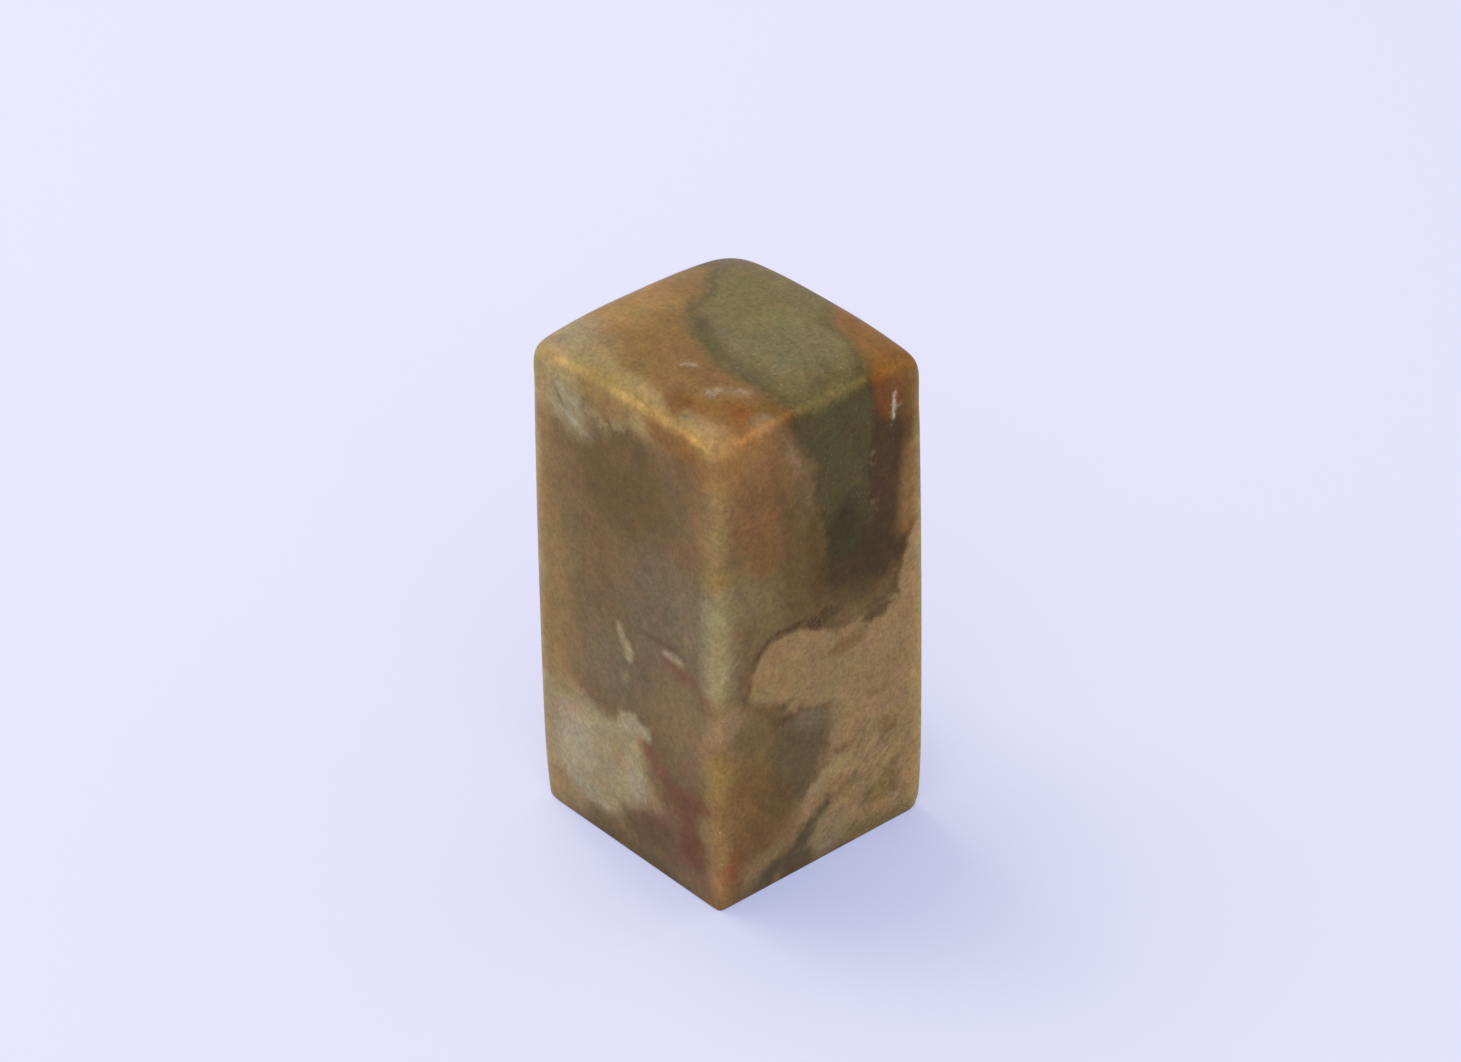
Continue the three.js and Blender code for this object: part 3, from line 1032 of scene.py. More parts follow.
RIGHT_ZONES = (
    Zone(Mineral.WARM_RED, (RIGHT(-9, 47.3, 3, 2),), edge=3.5, strength=0.9),
    Zone(Mineral.WARM_RED, (RIGHT(-8.8, 44.6, 3.4, 2),), edge=4, strength=0.35),
    Zone(Mineral.UMBER, (RIGHT(-3.7, 46.6, 1, 2),), edge=1.6, strength=0.7),
    Zone(
        Mineral.LILAC_GREY,
        (RIGHT(-3.4, 44.6, 0.5, 2.6, tilt=24, deep=2),),
        edge=1.4,
        ragged=0.5,
        strength=0.42,
    ),
    Zone(Mineral.UMBER, (RIGHT(-4.8, 41.5, 0.3, 3, tilt=20, deep=1.5),), edge=1, ragged=0.5, strength=0.4),
    Zone(Mineral.CAP_WHITE, (RIGHT(-6.1, 48.7, 1.4, 0.7),), edge=1.8, ragged=0.4, strength=0.5),
    Zone(Mineral.RUST_RED, (RIGHT(-3.6, 47.8, 0.6, 0.8),), edge=1.2, ragged=0.4, strength=0.6),
    Zone(Mineral.BURNT_ORANGE, (RIGHT(-0.7, 32.6, 1.3, 5.4, tilt=4),), edge=2.4, strength=0.85),
    Zone(
        Mineral.PLUM,
        (
            RIGHT(7.3, 40, 2.4, 9, deep=4),
            RIGHT(8.3, 41.4, 1.9, 2.2),
            RIGHT(4.3, 30.4, 4.4, 3.9, deep=4),
            RIGHT(8.5, 29.6, 1.3, 1.3),
        ),
        edge=2,
        ragged=0.35,
    ),
    Zone(Mineral.PLUM_RED, (RIGHT(7.6, 38.5, 1.4, 5),), edge=2.2, strength=0.85),
    Zone(Mineral.RUST_RED, (RIGHT(7.8, 46.4, 2.2, 2.6),), edge=2.2, ragged=0.4, strength=0.9),
    Zone(Mineral.OCHRE, (RIGHT(10, 35.6, 1, 4.4, tilt=-6),), edge=2, strength=0.4),
    Zone(Mineral.OLIVE_BROWN, (RIGHT(3.4, 27, 4.6, 1.3, tilt=-8),), edge=2, strength=0.6),
    Zone(
        Mineral.DARK_GREEN,
        (
            RIGHT(2.5, 42, 3.2, 10.6, tilt=3, deep=3),
            RIGHT(0.2, 48.5, 3.4, 5.5, deep=2),
            RIGHT(3.3, 48, 2.6, 5, deep=2),
        ),
        edge=1.2,
        grit=0.4,
        rim=Rim(Mineral.DEEP_GREEN, 0.1, 1, 0.45),
    ),
    Zone(Mineral.DEEP_GREEN, (RIGHT(2.9, 34.6, 2, 3),), edge=3),
    Zone(Mineral.DEEP_GREEN, (RIGHT(1.2, 33.4, 0.8, 1.8, deep=2),), edge=1.6, strength=0.8),
    Zone(
        Mineral.TAN,
        (
            RIGHT(7, 13, 6.2, 12.5, deep=9),
            RIGHT(-3.4, 22.7, 5.4, 3.8, tilt=-6, deep=4),
            RIGHT(-0.3, 20, 3.2, 2.9, deep=4),
            RIGHT(3.6, 20.3, 4.6, 4.6, deep=6),
            RIGHT(11.6, 25.2, 2.9, 6, deep=5),
            RIGHT(10.5, 6, 4, 8.5, deep=5),
            RIGHT(1.1, 4.4, 10.2, 4.7, tilt=50, deep=5),
            BACK(9.5, 20, 4.5, 9.5, tilt=-12, deep=4),
            BACK(7, 12, 4.6, 5, tilt=24, deep=4),
            BACK(5.6, 5, 7.2, 5, tilt=-16, deep=5),
        ),
        edge=0.9,
        ragged=0.3,
        grit=0.6,
        rim=Rim(Mineral.OUTLINE, -0.25, 0.9, 0.6),
    ),
    Zone(Mineral.TONGUE_TAN, (RIGHT(-3.4, 18.2, 0.9, 0.7, deep=1),), edge=1, strength=0.8, grit=0.6),
    Zone(Mineral.STREAK_TAN, (RIGHT(-6, 4.5, 4.4, 1.5, tilt=40),), edge=1.8, strength=0.9, grit=0.6),
    Zone(Mineral.TAN, (RIGHT(5, 6, 6, 8, deep=4),), edge=4, grit=1),
    Zone(Mineral.OCHRE, (RIGHT(13, 12, 1.7, 15, deep=3),), edge=2, strength=0.6, grit=0.5),
    Zone(Mineral.EDGE_OCHRE, (Lobe((12.6, 12.3, 22), (1.3, 1.5, 30)),), edge=1.6, strength=0.7),
    Zone(Mineral.TAWNY, (RIGHT(-7.4, 9.5, 4, 5),), edge=3, strength=0.8),
    Zone(Mineral.TONGUE_TAN, (RIGHT(-6, 22.4, 2.4, 2.4),), edge=3, strength=0.8, grit=0.5),
    Zone(Mineral.FOOT_TAN, (RIGHT(4.5, 0, 7, 1.8),), edge=2, strength=0.9, grit=0.8),
    Zone(
        Mineral.FOOT_TAN,
        (RIGHT(6.4, 4, 1.6, 1), RIGHT(6.8, 15.3, 1.2, 0.5), RIGHT(3.2, 7, 1.4, 0.6)),
        edge=1.4,
        strength=0.8,
        grit=0.9,
    ),
    Zone(
        Mineral.RUSSET_TAN,
        (
            RIGHT(7.6, 11, 1, 1.3),
            RIGHT(8.3, 4.8, 1, 1.6, tilt=10),
            RIGHT(2.3, 11.2, 0.8, 0.5),
            RIGHT(2.8, 22.6, 2, 1),
        ),
        edge=1.8,
        ragged=0.45,
        strength=0.8,
        grit=0.8,
    ),
    Zone(
        Mineral.OUTLINE,
        (RIGHT(-3.4, 26.9, 1.7, 0.25, tilt=-5, deep=1),),
        edge=0.7,
        ragged=0.5,
        strength=0.7,
    ),
    Zone(
        Mineral.OUTLINE, (RIGHT(-6.9, 26, 1.4, 0.3, tilt=38, deep=1),), edge=0.9, ragged=0.5, strength=0.6
    ),
    Zone(
        Mineral.OUTLINE, (RIGHT(0, 26.2, 1.9, 0.75, tilt=4, deep=1),), edge=0.8, ragged=0.45, strength=0.95
    ),
    Zone(Mineral.FOOT_TAN, (RIGHT(3, 25.3, 2.4, 0.9, tilt=-12),), edge=1.8, strength=0.35),
    Zone(
        Mineral.OUTLINE, (RIGHT(6.2, 24.4, 1.8, 1, tilt=12, deep=1),), edge=1.2, ragged=0.45, strength=0.85
    ),
    Zone(Mineral.LILAC_GREY, (RIGHT(-9.6, 20, 2.4, 1.1, tilt=-14, deep=1.5),), edge=1.6, strength=0.4),
    Zone(Mineral.PINK_BROWN, (RIGHT(-7, 19.4, 2.6, 0.7, tilt=-28, deep=1.5),), edge=1.4, strength=0.5),
    Zone(
        Mineral.GREY_GREEN,
        (RIGHT(-2.7, 14.6, 3.6, 2.1), RIGHT(-2.4, 11.5, 1.8, 3.5, tilt=-28), RIGHT(-4.4, 13, 1.8, 2.8)),
        edge=1.6,
        grit=0.3,
    ),
    Zone(Mineral.BLUE_GREY, (RIGHT(-1.4, 16, 1.7, 1, tilt=-14),), edge=1.4, strength=0.75),
    Zone(
        Mineral.GREY_TAN, (RIGHT(1.2, 15, 0.8, 2, tilt=-8),), edge=1.8, ragged=0.4, strength=0.6, grit=0.6
    ),
    Zone(Mineral.OUTLINE, (RIGHT(-4.8, 17.5, 1.5, 0.55, tilt=-12, deep=1),), edge=0.9, strength=0.75),
    Zone(Mineral.PINK_BROWN, (RIGHT(-9.6, 9, 1.6, 6),), edge=3, strength=0.5),
    Zone(Mineral.UMBER, (RIGHT(-5.6, 9.8, 1.8, 2.2),), edge=2.6, strength=0.8),
    Zone(
        Mineral.DARK_WALNUT,
        (RIGHT(-6.9, 19.2, 1.7, 0.4, tilt=-40, deep=1),),
        edge=1.2,
        ragged=0.45,
        strength=0.6,
    ),
    Zone(Mineral.PALE_WINE, (RIGHT(-8.2, 6.4, 2, 2, tilt=45),), edge=2.4, strength=0.6),
    Zone(
        Mineral.PALE_TAN,
        (RIGHT(-1.1, 8, 2.4, 0.8, tilt=48, deep=1.5),),
        edge=1.2,
        ragged=0.4,
        strength=0.35,
        grit=0.7,
    ),
    Zone(
        Mineral.PALE_TAN,
        (RIGHT(1.5, 9.4, 1.8, 0.9, tilt=20),),
        edge=1.6,
        ragged=0.4,
        strength=0.6,
        grit=0.9,
    ),
    Zone(Mineral.BONE, (RIGHT(-1.2, 7.8, 0.7, 0.35, tilt=35, deep=0.8),), edge=0.8, strength=0.2),
    Zone(
        Mineral.DARK_OLIVE,
        (
            RIGHT(-1.5, 5, 2.9, 0.6, tilt=31, deep=1.5),
            RIGHT(-4.4, 2.6, 3.8, 0.9, tilt=27, deep=1.5),
            RIGHT(-3.4, 1.3, 2.2, 1.5, deep=1.5),
        ),
        edge=1.4,
        ragged=0.4,
        strength=0.95,
    ),
    # Darker along the foot of the right face: painted shade where the block meets the floor
    Zone(Mineral.OLIVE_BROWN, (RIGHT(-1.5, 0.1, 4.4, 0.9),), edge=1.2, strength=0.8),
    Zone(Mineral.GREY_TAN, (RIGHT(0.9, 2.6, 2, 2.6, tilt=-12),), edge=2, strength=0.85, grit=0.9),
    Zone(Mineral.LILAC_GREY, (RIGHT(8, 13.2, 1.2, 1),), edge=1.6, strength=0.4),
    Zone(Mineral.BONE, (RIGHT(8.4, 44.6, 0.25, 1.3, tilt=-4, deep=0.6),), edge=0.6, ragged=0.4),
    Zone(
        Mineral.BONE, (RIGHT(8.7, 44.4, 0.6, 0.15, tilt=8, deep=0.6),), edge=0.5, ragged=0.4, strength=0.4
    ),
    Zone(
        Mineral.LILAC_GREY,
        (RIGHT(6.1, 40.3, 0.15, 0.7, tilt=-4, deep=0.5),),
        edge=0.6,
        ragged=0.5,
        strength=0.4,
    ),
    Zone(
        Mineral.LILAC_GREY,
        (RIGHT(6.2, 35.2, 0.2, 0.7, tilt=4, deep=0.5),),
        edge=0.7,
        ragged=0.5,
        strength=0.3,
    ),
)

TOP_ZONES = (
    Zone(Mineral.CAP_BROWN, (TOP(2, -3, 13, 8.5, deep=1.3),), edge=2.4),
    Zone(Mineral.CAP_ORANGE, (TOP(-10.5, -3, 4.2, 8.5, deep=2),), edge=5),
    Zone(Mineral.CAP_WHITE, (TOP(-10.4, -9.6, 3.2, 2.8, deep=1.6),), edge=3.5, strength=0.75),
    Zone(Mineral.PALE_OCHRE, (TOP(-7, -9.6, 3, 2, deep=1.6),), edge=3, strength=0.7),
    Zone(Mineral.CAP_YELLOW, (TOP(0, -13.7, 13, 3, deep=1.8),), edge=2, ragged=0.4, strength=0.8),
    Zone(Mineral.PINK_BROWN, (TOP(4.6, -5.2, 7, 1.8, tilt=-6, deep=1.4),), edge=2.4, strength=0.85),
    Zone(Mineral.PINK_BROWN, (TOP(-8.4, 2.8, 1.8, 2.4, deep=1.4),), edge=2.6, strength=0.5),
    Zone(
        Mineral.CAP_GOLD,
        (
            TOP(2.6, -10.9, 2, 0.6, tilt=4, deep=1.2),
            Lobe((5.6, -12, 48.6), (2.6, 0.9, 0.4), (0, 6, 0)),
            Lobe((9.6, -12, 48.3), (2, 0.9, 0.4)),
        ),
        edge=0.8,
        ragged=0.4,
        strength=0.5,
    ),
    Zone(
        Mineral.RUST,
        (TOP(7.2, -9.1, 3, 1.1, tilt=12, deep=1.5), TOP(9.8, -7.6, 2.2, 1.5, deep=1.5)),
        edge=1.8,
        ragged=0.5,
        strength=0.95,
    ),
    Zone(
        Mineral.DARK_RUST, (TOP(5.6, -10, 1.5, 1, tilt=-30, deep=1.5),), edge=1.6, ragged=0.6, strength=0.9
    ),
    Zone(Mineral.BRICK, (TOP(10.2, -7.4, 1.2, 0.6, tilt=30, deep=1),), edge=1.4, ragged=0.5, strength=0.6),
    Zone(Mineral.TAWNY, (TOP(11, -4.5, 1.3, 1.1, deep=1.5),), edge=1.6, strength=0.9),
    Zone(Mineral.CAP_GOLD, (Lobe((11.8, -11.6, 48.6), (2.4, 2.4, 1.8)),), edge=2.2, strength=0.55),
    Zone(
        Mineral.STONE_GREEN,
        (
            Lobe((5.6, 1.6, 49.6), (10.3, 6.1, 3)),
            Lobe((-2.3, 7.4, 49.6), (7.6, 5.8, 4), (0, 0, -34)),
            Lobe((-0.9, 2.9, 49.6), (5.7, 5.2, 3), (0, 0, -40)),
        ),
        edge=1.4,
        grit=0.8,
        rim=Rim(Mineral.RIM_GREEN, 0.5, 1.1, 0.5, ragged=0.3),
    ),
    Zone(Mineral.RIM_GREEN, (TOP(0, -1.8, 3.4, 1.1, tilt=-24, deep=2),), edge=1.8, strength=0.75),
    Zone(Mineral.RIM_GREEN, (TOP(6.2, -3.2, 5, 1.3, tilt=4, deep=2),), edge=2.2, strength=0.4),
    Zone(Mineral.UMBER, (TOP(-5.4, 1.2, 2.6, 0.6, tilt=-50, deep=2),), edge=1.6, strength=0.5),
    Zone(
        Mineral.BLUE_GREEN,
        (TOP(6, 2.5, 4, 3.4), TOP(2, -0.8, 2.6, 1.4, tilt=-14)),
        edge=3.5,
        strength=0.7,
        grit=0.8,
    ),
    Zone(Mineral.RIM_GREEN, (TOP(10.4, 2.6, 0.8, 0.6, deep=1),), edge=1.2, strength=0.5),
    Zone(Mineral.RIM_GREEN, (TOP(11.5, 2, 0.9, 4.6, deep=1.5),), edge=1.6, strength=0.45),
    Zone(Mineral.RIM_GREEN, (TOP(10.4, 6, 2, 0.8, tilt=-24, deep=1.5),), edge=1.8, strength=0.4),
    Zone(Mineral.UMBER, (TOP(10.2, -3.6, 2, 0.7, deep=1.2),), edge=1.6, strength=0.5),
    Zone(Mineral.PINK_BROWN, (TOP(3.2, -8.8, 1.6, 0.9, deep=1.2),), edge=2, strength=0.6),
    Zone(Mineral.CORNER_ORANGE, (Lobe((8.8, 11.4, 49), (8, 4, 3), (0, 0, -22)),), edge=2.6, strength=0.95),
    Zone(Mineral.LILAC_BROWN, (TOP(-9.3, 8.8, 1.8, 1.8, deep=2),), edge=2.4, strength=0.8),
    Zone(Mineral.BONE, (TOP(2.2, -5.9, 0.6, 0.35, deep=0.6),), edge=0.7, ragged=0.5, strength=0.5),
    Zone(Mineral.BONE, (TOP(6.9, -6.9, 0.5, 0.3, tilt=30, deep=0.6),), edge=0.6, ragged=0.6, strength=0.5),
    Zone(Mineral.BONE, (TOP(8.5, -5.3, 0.5, 0.2, tilt=30, deep=0.6),), edge=0.6, ragged=0.6, strength=0.3),
    Zone(
        Mineral.PINK_CREAM, (TOP(7.6, -6.2, 2, 0.8, tilt=40, deep=1),), edge=1.8, ragged=0.5, strength=0.3
    ),
    Zone(Mineral.BONE, (TOP(12, -5.6, 0.6, 0.9, deep=1),), edge=1, strength=0.4),
)

HIDDEN_ZONES = (
    Zone(Mineral.LILAC_BROWN, (LEFT(1.5, 25, 6.5, 8, tilt=-24), BACK(-5, 23, 5, 6.5, tilt=16)), edge=5),
    Zone(Mineral.PINK_BROWN, (LEFT(5, 36, 4.2, 6, tilt=12), BACK(-1, 33, 3.4, 5, tilt=-20)), edge=4),
    Zone(Mineral.DARK_WALNUT, (LEFT(-3, 38, 4, 6, tilt=-10), BACK(2, 17, 3.4, 6)), edge=4),
    Zone(Mineral.TAWNY, (LEFT(8.5, 20, 4, 7, tilt=8), BACK(-10, 17, 4, 5)), edge=4, strength=0.8),
    Zone(Mineral.WARM_TAN, (LEFT(-4, 17, 4, 3.5, tilt=-20),), edge=4, strength=0.7),
    Zone(Mineral.RIDGE_CREAM, (Lobe((-12, 11.6, 27), (2.6, 2.6, 7)),), edge=3.4, strength=0.9),
    Zone(Mineral.RIDGE_OCHRE, (Lobe((-11.8, 11.4, 15), (2.8, 2.6, 6)),), edge=4.5, strength=0.6),
    Zone(Mineral.CORNER_ORANGE, (BACK(7.5, 45, 6, 5, tilt=-8, deep=3),), edge=4, strength=0.8),
    Zone(
        Mineral.PLUM,
        (BACK(7.8, 38.6, 3.4, 8, tilt=10), BACK(5.4, 34, 4, 3.4, tilt=-24)),
        edge=2.6,
        ragged=0.6,
    ),
    Zone(
        Mineral.WINE,
        (LEFT(-2.2, 15, 4.4, 1.9, tilt=34), LEFT(2.4, 18.4, 3, 2.2, tilt=12)),
        edge=2.8,
        strength=0.8,
    ),
    Zone(Mineral.DARK_WINE, (LEFT(-0.5, 6.5, 3.2, 3.4, tilt=30),), edge=2.6, strength=0.8),
    Zone(Mineral.WINE, (BACK(0.5, 26.5, 2.2, 3.4, tilt=40),), edge=3.4, strength=0.55),
    Zone(
        Mineral.DARK_GREEN,
        (
            LEFT(9.8, 44.6, 4, 6.4, tilt=14, deep=4),
            BACK(-5.6, 45, 7.6, 7.4, tilt=-16, deep=4),
            BACK(-4.6, 38.4, 3.6, 4.6, tilt=28, deep=3),
        ),
        edge=1.2,
        grit=0.4,
        rim=Rim(Mineral.DEEP_GREEN, 0.2, 1, 0.45),
    ),
    Zone(
        Mineral.STONE_GREEN,
        (
            LEFT(8.6, 8.4, 4.6, 5.4, tilt=-26, deep=4),
            LEFT(5.4, 3.6, 3.8, 3, deep=4),
            BACK(-10.2, 7, 4.4, 5.4, tilt=18, deep=4),
        ),
        edge=1.2,
        grit=0.8,
        rim=Rim(Mineral.RIM_GREEN, 0.6, 1.3, 0.7),
    ),
    Zone(Mineral.CREAM, (LEFT(-9.8, 43.6, 3, 1.8, tilt=14), LEFT(-7.2, 41.6, 1.8, 1)), edge=2.2, grit=0.5),
    Zone(Mineral.PALE_CREAM, (LEFT(-8.6, 43.4, 1.8, 0.4, tilt=30, deep=1),), edge=0.9, strength=0.6),
    Zone(
        Mineral.CREAM,
        (LEFT(3.4, 29, 2.6, 1.1, tilt=38), LEFT(1, 27, 1.4, 1.3)),
        edge=1.8,
        strength=0.7,
        grit=0.5,
    ),
    Zone(Mineral.OUTLINE, (LEFT(-3, 31, 9, 0.3, tilt=24, deep=1),), edge=1, ragged=0.4, strength=0.35),
    Zone(
        Mineral.PALE_OCHRE,
        (LEFT(2, 11.4, 3, 0.6, tilt=-42), LEFT(5, 8.4, 2.4, 0.4, tilt=-60)),
        edge=2,
        ragged=0.5,
        strength=0.4,
    ),
    Zone(Mineral.CREAM, (BACK(-4.2, 29.4, 1.2, 0.5, tilt=-20, deep=1),), edge=1, ragged=0.4, strength=0.7),
    Zone(
        Mineral.PALE_OCHRE,
        (BACK(-2, 20, 3, 0.6, tilt=48), BACK(-4.6, 16.4, 2.6, 0.5, tilt=70)),
        edge=2,
        ragged=0.5,
        strength=0.4,
    ),
    Zone(Mineral.CREAM, (BASE(-6.5, -6, 5.5, 4.5, deep=0.8),), edge=2.2, grit=0.5),
    Zone(Mineral.WINE, (BASE(4, -8, 4, 2.4, tilt=12, deep=0.8),), edge=2, strength=0.8),
    Zone(
        Mineral.TAN,
        (BASE(7.5, 5.5, 6, 7, deep=0.8), BASE(3.5, 1, 3.5, 4.5, tilt=-30, deep=0.8)),
        edge=0.9,
        grit=0.6,
        rim=Rim(Mineral.OUTLINE, -0.25, 0.9, 0.6),
    ),
    Zone(Mineral.OUTLINE, (BACK(1, 31, 9, 0.3, tilt=-30, deep=1),), edge=1, ragged=0.4, strength=0.35),
)


# The effects that the stone's material is made of


FLOAT, VECTOR, COLOUR = "NodeSocketFloat", "NodeSocketVector", "NodeSocketColor"
MID_GREY = (0.5, 0.5, 0.5)


def new_group(
    name: str, inputs: dict[str, str], outputs: dict[str, str]
) -> tuple[NodeBench, bpy.types.Node, bpy.types.Node]:
    """Starts a node group with named inputs and outputs.

    Args:
        name: the group's name.
        inputs: the type of each input.
        outputs: the type of each output.

    Returns:
        The bench to build it on, the node that gives the inputs, and the node that takes the outputs.
    """
    tree = bpy.data.node_groups.new(name, "ShaderNodeTree")
    for title, kind in inputs.items():
        tree.interface.new_socket(name=title, in_out="INPUT", socket_type=kind)
    for title, kind in outputs.items():
        tree.interface.new_socket(name=title, in_out="OUTPUT", socket_type=kind)
    bench = NodeBench(tree)
    return bench, bench.add("NodeGroupInput"), bench.add("NodeGroupOutput")


@dataclass(frozen=True)
class StoneFields:
    """The noises that the whole stone shares, in millimetres: they bend its zones and fray the borders."""

    metres_to_mm: float = 1000.0
    wave_scale: float = 0.17
    wave_reach: float = 1.8
    ripple_scale: float = 0.75
    ripple_reach: float = 0.8
    fray_scale: float = 1.1
    fray_swing: float = 4.0
    cloud_scale: float = 0.28

    def build(self) -> bpy.types.NodeTree:
        """Makes the group.

        Returns:
            The group, which takes a point and gives it straight and bent, with two noises there.
        """
        outputs = {"Straight": VECTOR, "Place": VECTOR, "Ragged": FLOAT, "Cloud": FLOAT}
        bench, given, made = new_group("stone_fields", {"Point": VECTOR}, outputs)
        straight = bench.vector("SCALE", given.outputs["Point"], scale=self.metres_to_mm)
        wave = bench.noise(straight, self.wave_scale, detail=1).outputs["Color"]
        wave = bench.vector("SCALE", bench.vector("SUBTRACT", wave, MID_GREY), scale=self.wave_reach)
        ripple = bench.noise(straight, self.ripple_scale, detail=3, roughness=0.6).outputs["Color"]
        ripple = bench.vector("SCALE", bench.vector("SUBTRACT", ripple, MID_GREY), scale=self.ripple_reach)
        place = bench.vector("ADD", straight, bench.vector("ADD", wave, ripple))
        ragged = bench.noise(straight, self.fray_scale, detail=5, roughness=0.68).outputs["Fac"]
        cloud = bench.noise(straight, self.cloud_scale, detail=5, roughness=0.6).outputs["Fac"]
        bench.put(made.inputs["Straight"], straight)
        bench.put(made.inputs["Place"], place)
        frayed = bench.math("MULTIPLY_ADD", ragged, self.fray_swing, -self.fray_swing / 2)
        bench.put(made.inputs["Ragged"], frayed)
        bench.put(made.inputs["Cloud"], cloud)
        return bench.tree


def build_lobe_group() -> bpy.types.NodeTree:
    """Makes the group that measures how far a point lies outside one lobe, in millimetres.

    Returns:
        The group.
    """
    inputs = {"Place": VECTOR, "Middle": VECTOR, "Radii": VECTOR, "Turn": VECTOR}
    bench, given, made = new_group("mineral_lobe", inputs, {"Distance": FLOAT})
    offset = bench.vector("SUBTRACT", given.outputs["Place"], given.outputs["Middle"])
    turned = bench.add("ShaderNodeVectorRotate", rotation_type="EULER_XYZ", invert=True)
    bench.put(turned.inputs["Vector"], offset)
    bench.put(turned.inputs["Rotation"], given.outputs["Turn"])
    shares = bench.vector("DIVIDE", turned.outputs["Vector"], given.outputs["Radii"])
    level = bench.vector("LENGTH", shares)
    slope = bench.vector("LENGTH", bench.vector("DIVIDE", shares, given.outputs["Radii"]))
    beyond = bench.math("MULTIPLY", level, bench.math("SUBTRACT", level, 1.0))
    bench.put(made.inputs["Distance"], bench.math("DIVIDE", beyond, slope))
    return bench.tree


def build_zone_group() -> bpy.types.NodeTree:
    """Makes the group that lays one mineral zone over the stone so far.

    Returns:
        The group.
    """
    inputs = {
        "Colour": COLOUR, "Grit": FLOAT, "Distance": FLOAT, "Ragged": FLOAT,
        "Mineral": COLOUR, "Mineral Grit": FLOAT, "Edge": FLOAT, "Fray": FLOAT, "Strength": FLOAT,
    }
    bench, given, made = new_group("mineral_zone", inputs, {"Colour": COLOUR, "Grit": FLOAT})
    take = given.outputs
    distance = bench.math("MULTIPLY_ADD", take["Ragged"], take["Fray"], take["Distance"])
    half = bench.math("MULTIPLY", take["Edge"], 0.5)
    mask = bench.step(distance, half, bench.math("MULTIPLY", half, -1.0))
    mask = bench.math("MULTIPLY", mask, take["Strength"])
    bench.put(made.inputs["Colour"], bench.mix_colour(mask, take["Colour"], take["Mineral"]))
    bench.put(made.inputs["Grit"], bench.mix_value(mask, take["Grit"], take["Mineral Grit"]))
    return bench.tree


# A rim is gone where the cloud noise is below the first value, and whole where it is above the second
RIM_GONE, RIM_WHOLE = 0.36, 0.58


def build_rim_group() -> bpy.types.NodeTree:
    """Makes the group that draws a broken line of another mineral along the border of a zone.

    Returns:
        The group.
    """
    inputs = {
        "Colour": COLOUR, "Distance": FLOAT, "Ragged": FLOAT, "Cloud": FLOAT,
        "Mineral": COLOUR, "Inside": FLOAT, "Width": FLOAT, "Fray": FLOAT, "Strength": FLOAT,
    }
    bench, given, made = new_group("mineral_rim", inputs, {"Colour": COLOUR})
    take = given.outputs
    distance = bench.math("MULTIPLY_ADD", take["Ragged"], take["Fray"], take["Distance"])
    away = bench.math("ABSOLUTE", bench.math("ADD", distance, take["Inside"]))
    mask = bench.step(away, take["Width"], 0.0)
    broken = bench.step(take["Cloud"], RIM_GONE, RIM_WHOLE)
    mask = bench.math("MULTIPLY", bench.math("MULTIPLY", mask, broken), take["Strength"])
    bench.put(made.inputs["Colour"], bench.mix_colour(mask, take["Colour"], take["Mineral"]))
    return bench.tree


@dataclass(frozen=True)
class PaintedEdgeGlow:
    """Painted light at the edges: where the stone is thin at its rounded edges, light comes through it, and
    this glow is painted into the colour as a paler, warmer tint; a painted highlight runs along the crest
    of the top.
    """

    half_width: float = 12.5
    half_depth: float = 12.1
    shoulder: float = 48.6
    reach: float = 2.6
    crest_gap: float = 0.45
    crest_width: float = 0.32
    crest_foot: float = 47.0
    crest_rise: float = 0.8
    narrow_from: float = 45.5
    narrow_to: float = 48.0
    narrowing: float = 0.7

    def build(self) -> bpy.types.NodeTree:
        """Makes the group.

        Returns:
            The group, which takes a point in millimetres. Its mask, for the painted edge glow, is 1 at an
            edge and 0 away from it, and its crest, for the painted highlight, is 1 along the line where a
            side turns over into the top.
        """
        bench, given, made = new_group("painted_edge_glow", {"Straight": VECTOR}, {"Mask": FLOAT, "Crest": FLOAT})
        split = bench.add("ShaderNodeSeparateXYZ")
        bench.put(split.inputs[0], given.outputs["Straight"])
        gaps = []
        for axis, limit in (("X", self.half_width), ("Y", self.half_depth)):
            gap = bench.math("SUBTRACT", limit, bench.math("ABSOLUTE", split.outputs[axis]))
            gaps.append(bench.math("MAXIMUM", gap, 0.0))
        above = bench.math("MAXIMUM", bench.math("SUBTRACT", self.shoulder, split.outputs["Z"]), 0.0)
        nearer = bench.math("MINIMUM", *gaps)
        farther = bench.math("MAXIMUM", *gaps)
        second = bench.math("MAXIMUM", nearer, bench.math("MINIMUM", farther, above))
        upper = bench.step(split.outputs["Z"], self.narrow_from, self.narrow_to)
        second = bench.math("MULTIPLY", second, bench.math("MULTIPLY_ADD", upper, self.narrowing, 1.0))
        # The mask of the painted edge glow
        bench.put(made.inputs["Mask"], bench.step(second, self.reach, 0.0))
        # The crest: a thin line of painted highlight where a side turns over into the top
        off = bench.math("ABSOLUTE", bench.math("SUBTRACT", nearer, self.crest_gap))
        high = bench.step(split.outputs["Z"], self.crest_foot, self.crest_foot + self.crest_rise)
        crest = bench.math("MULTIPLY", bench.step(off, self.crest_width, 0.0), high)
        bench.put(made.inputs["Crest"], crest)
        return bench.tree


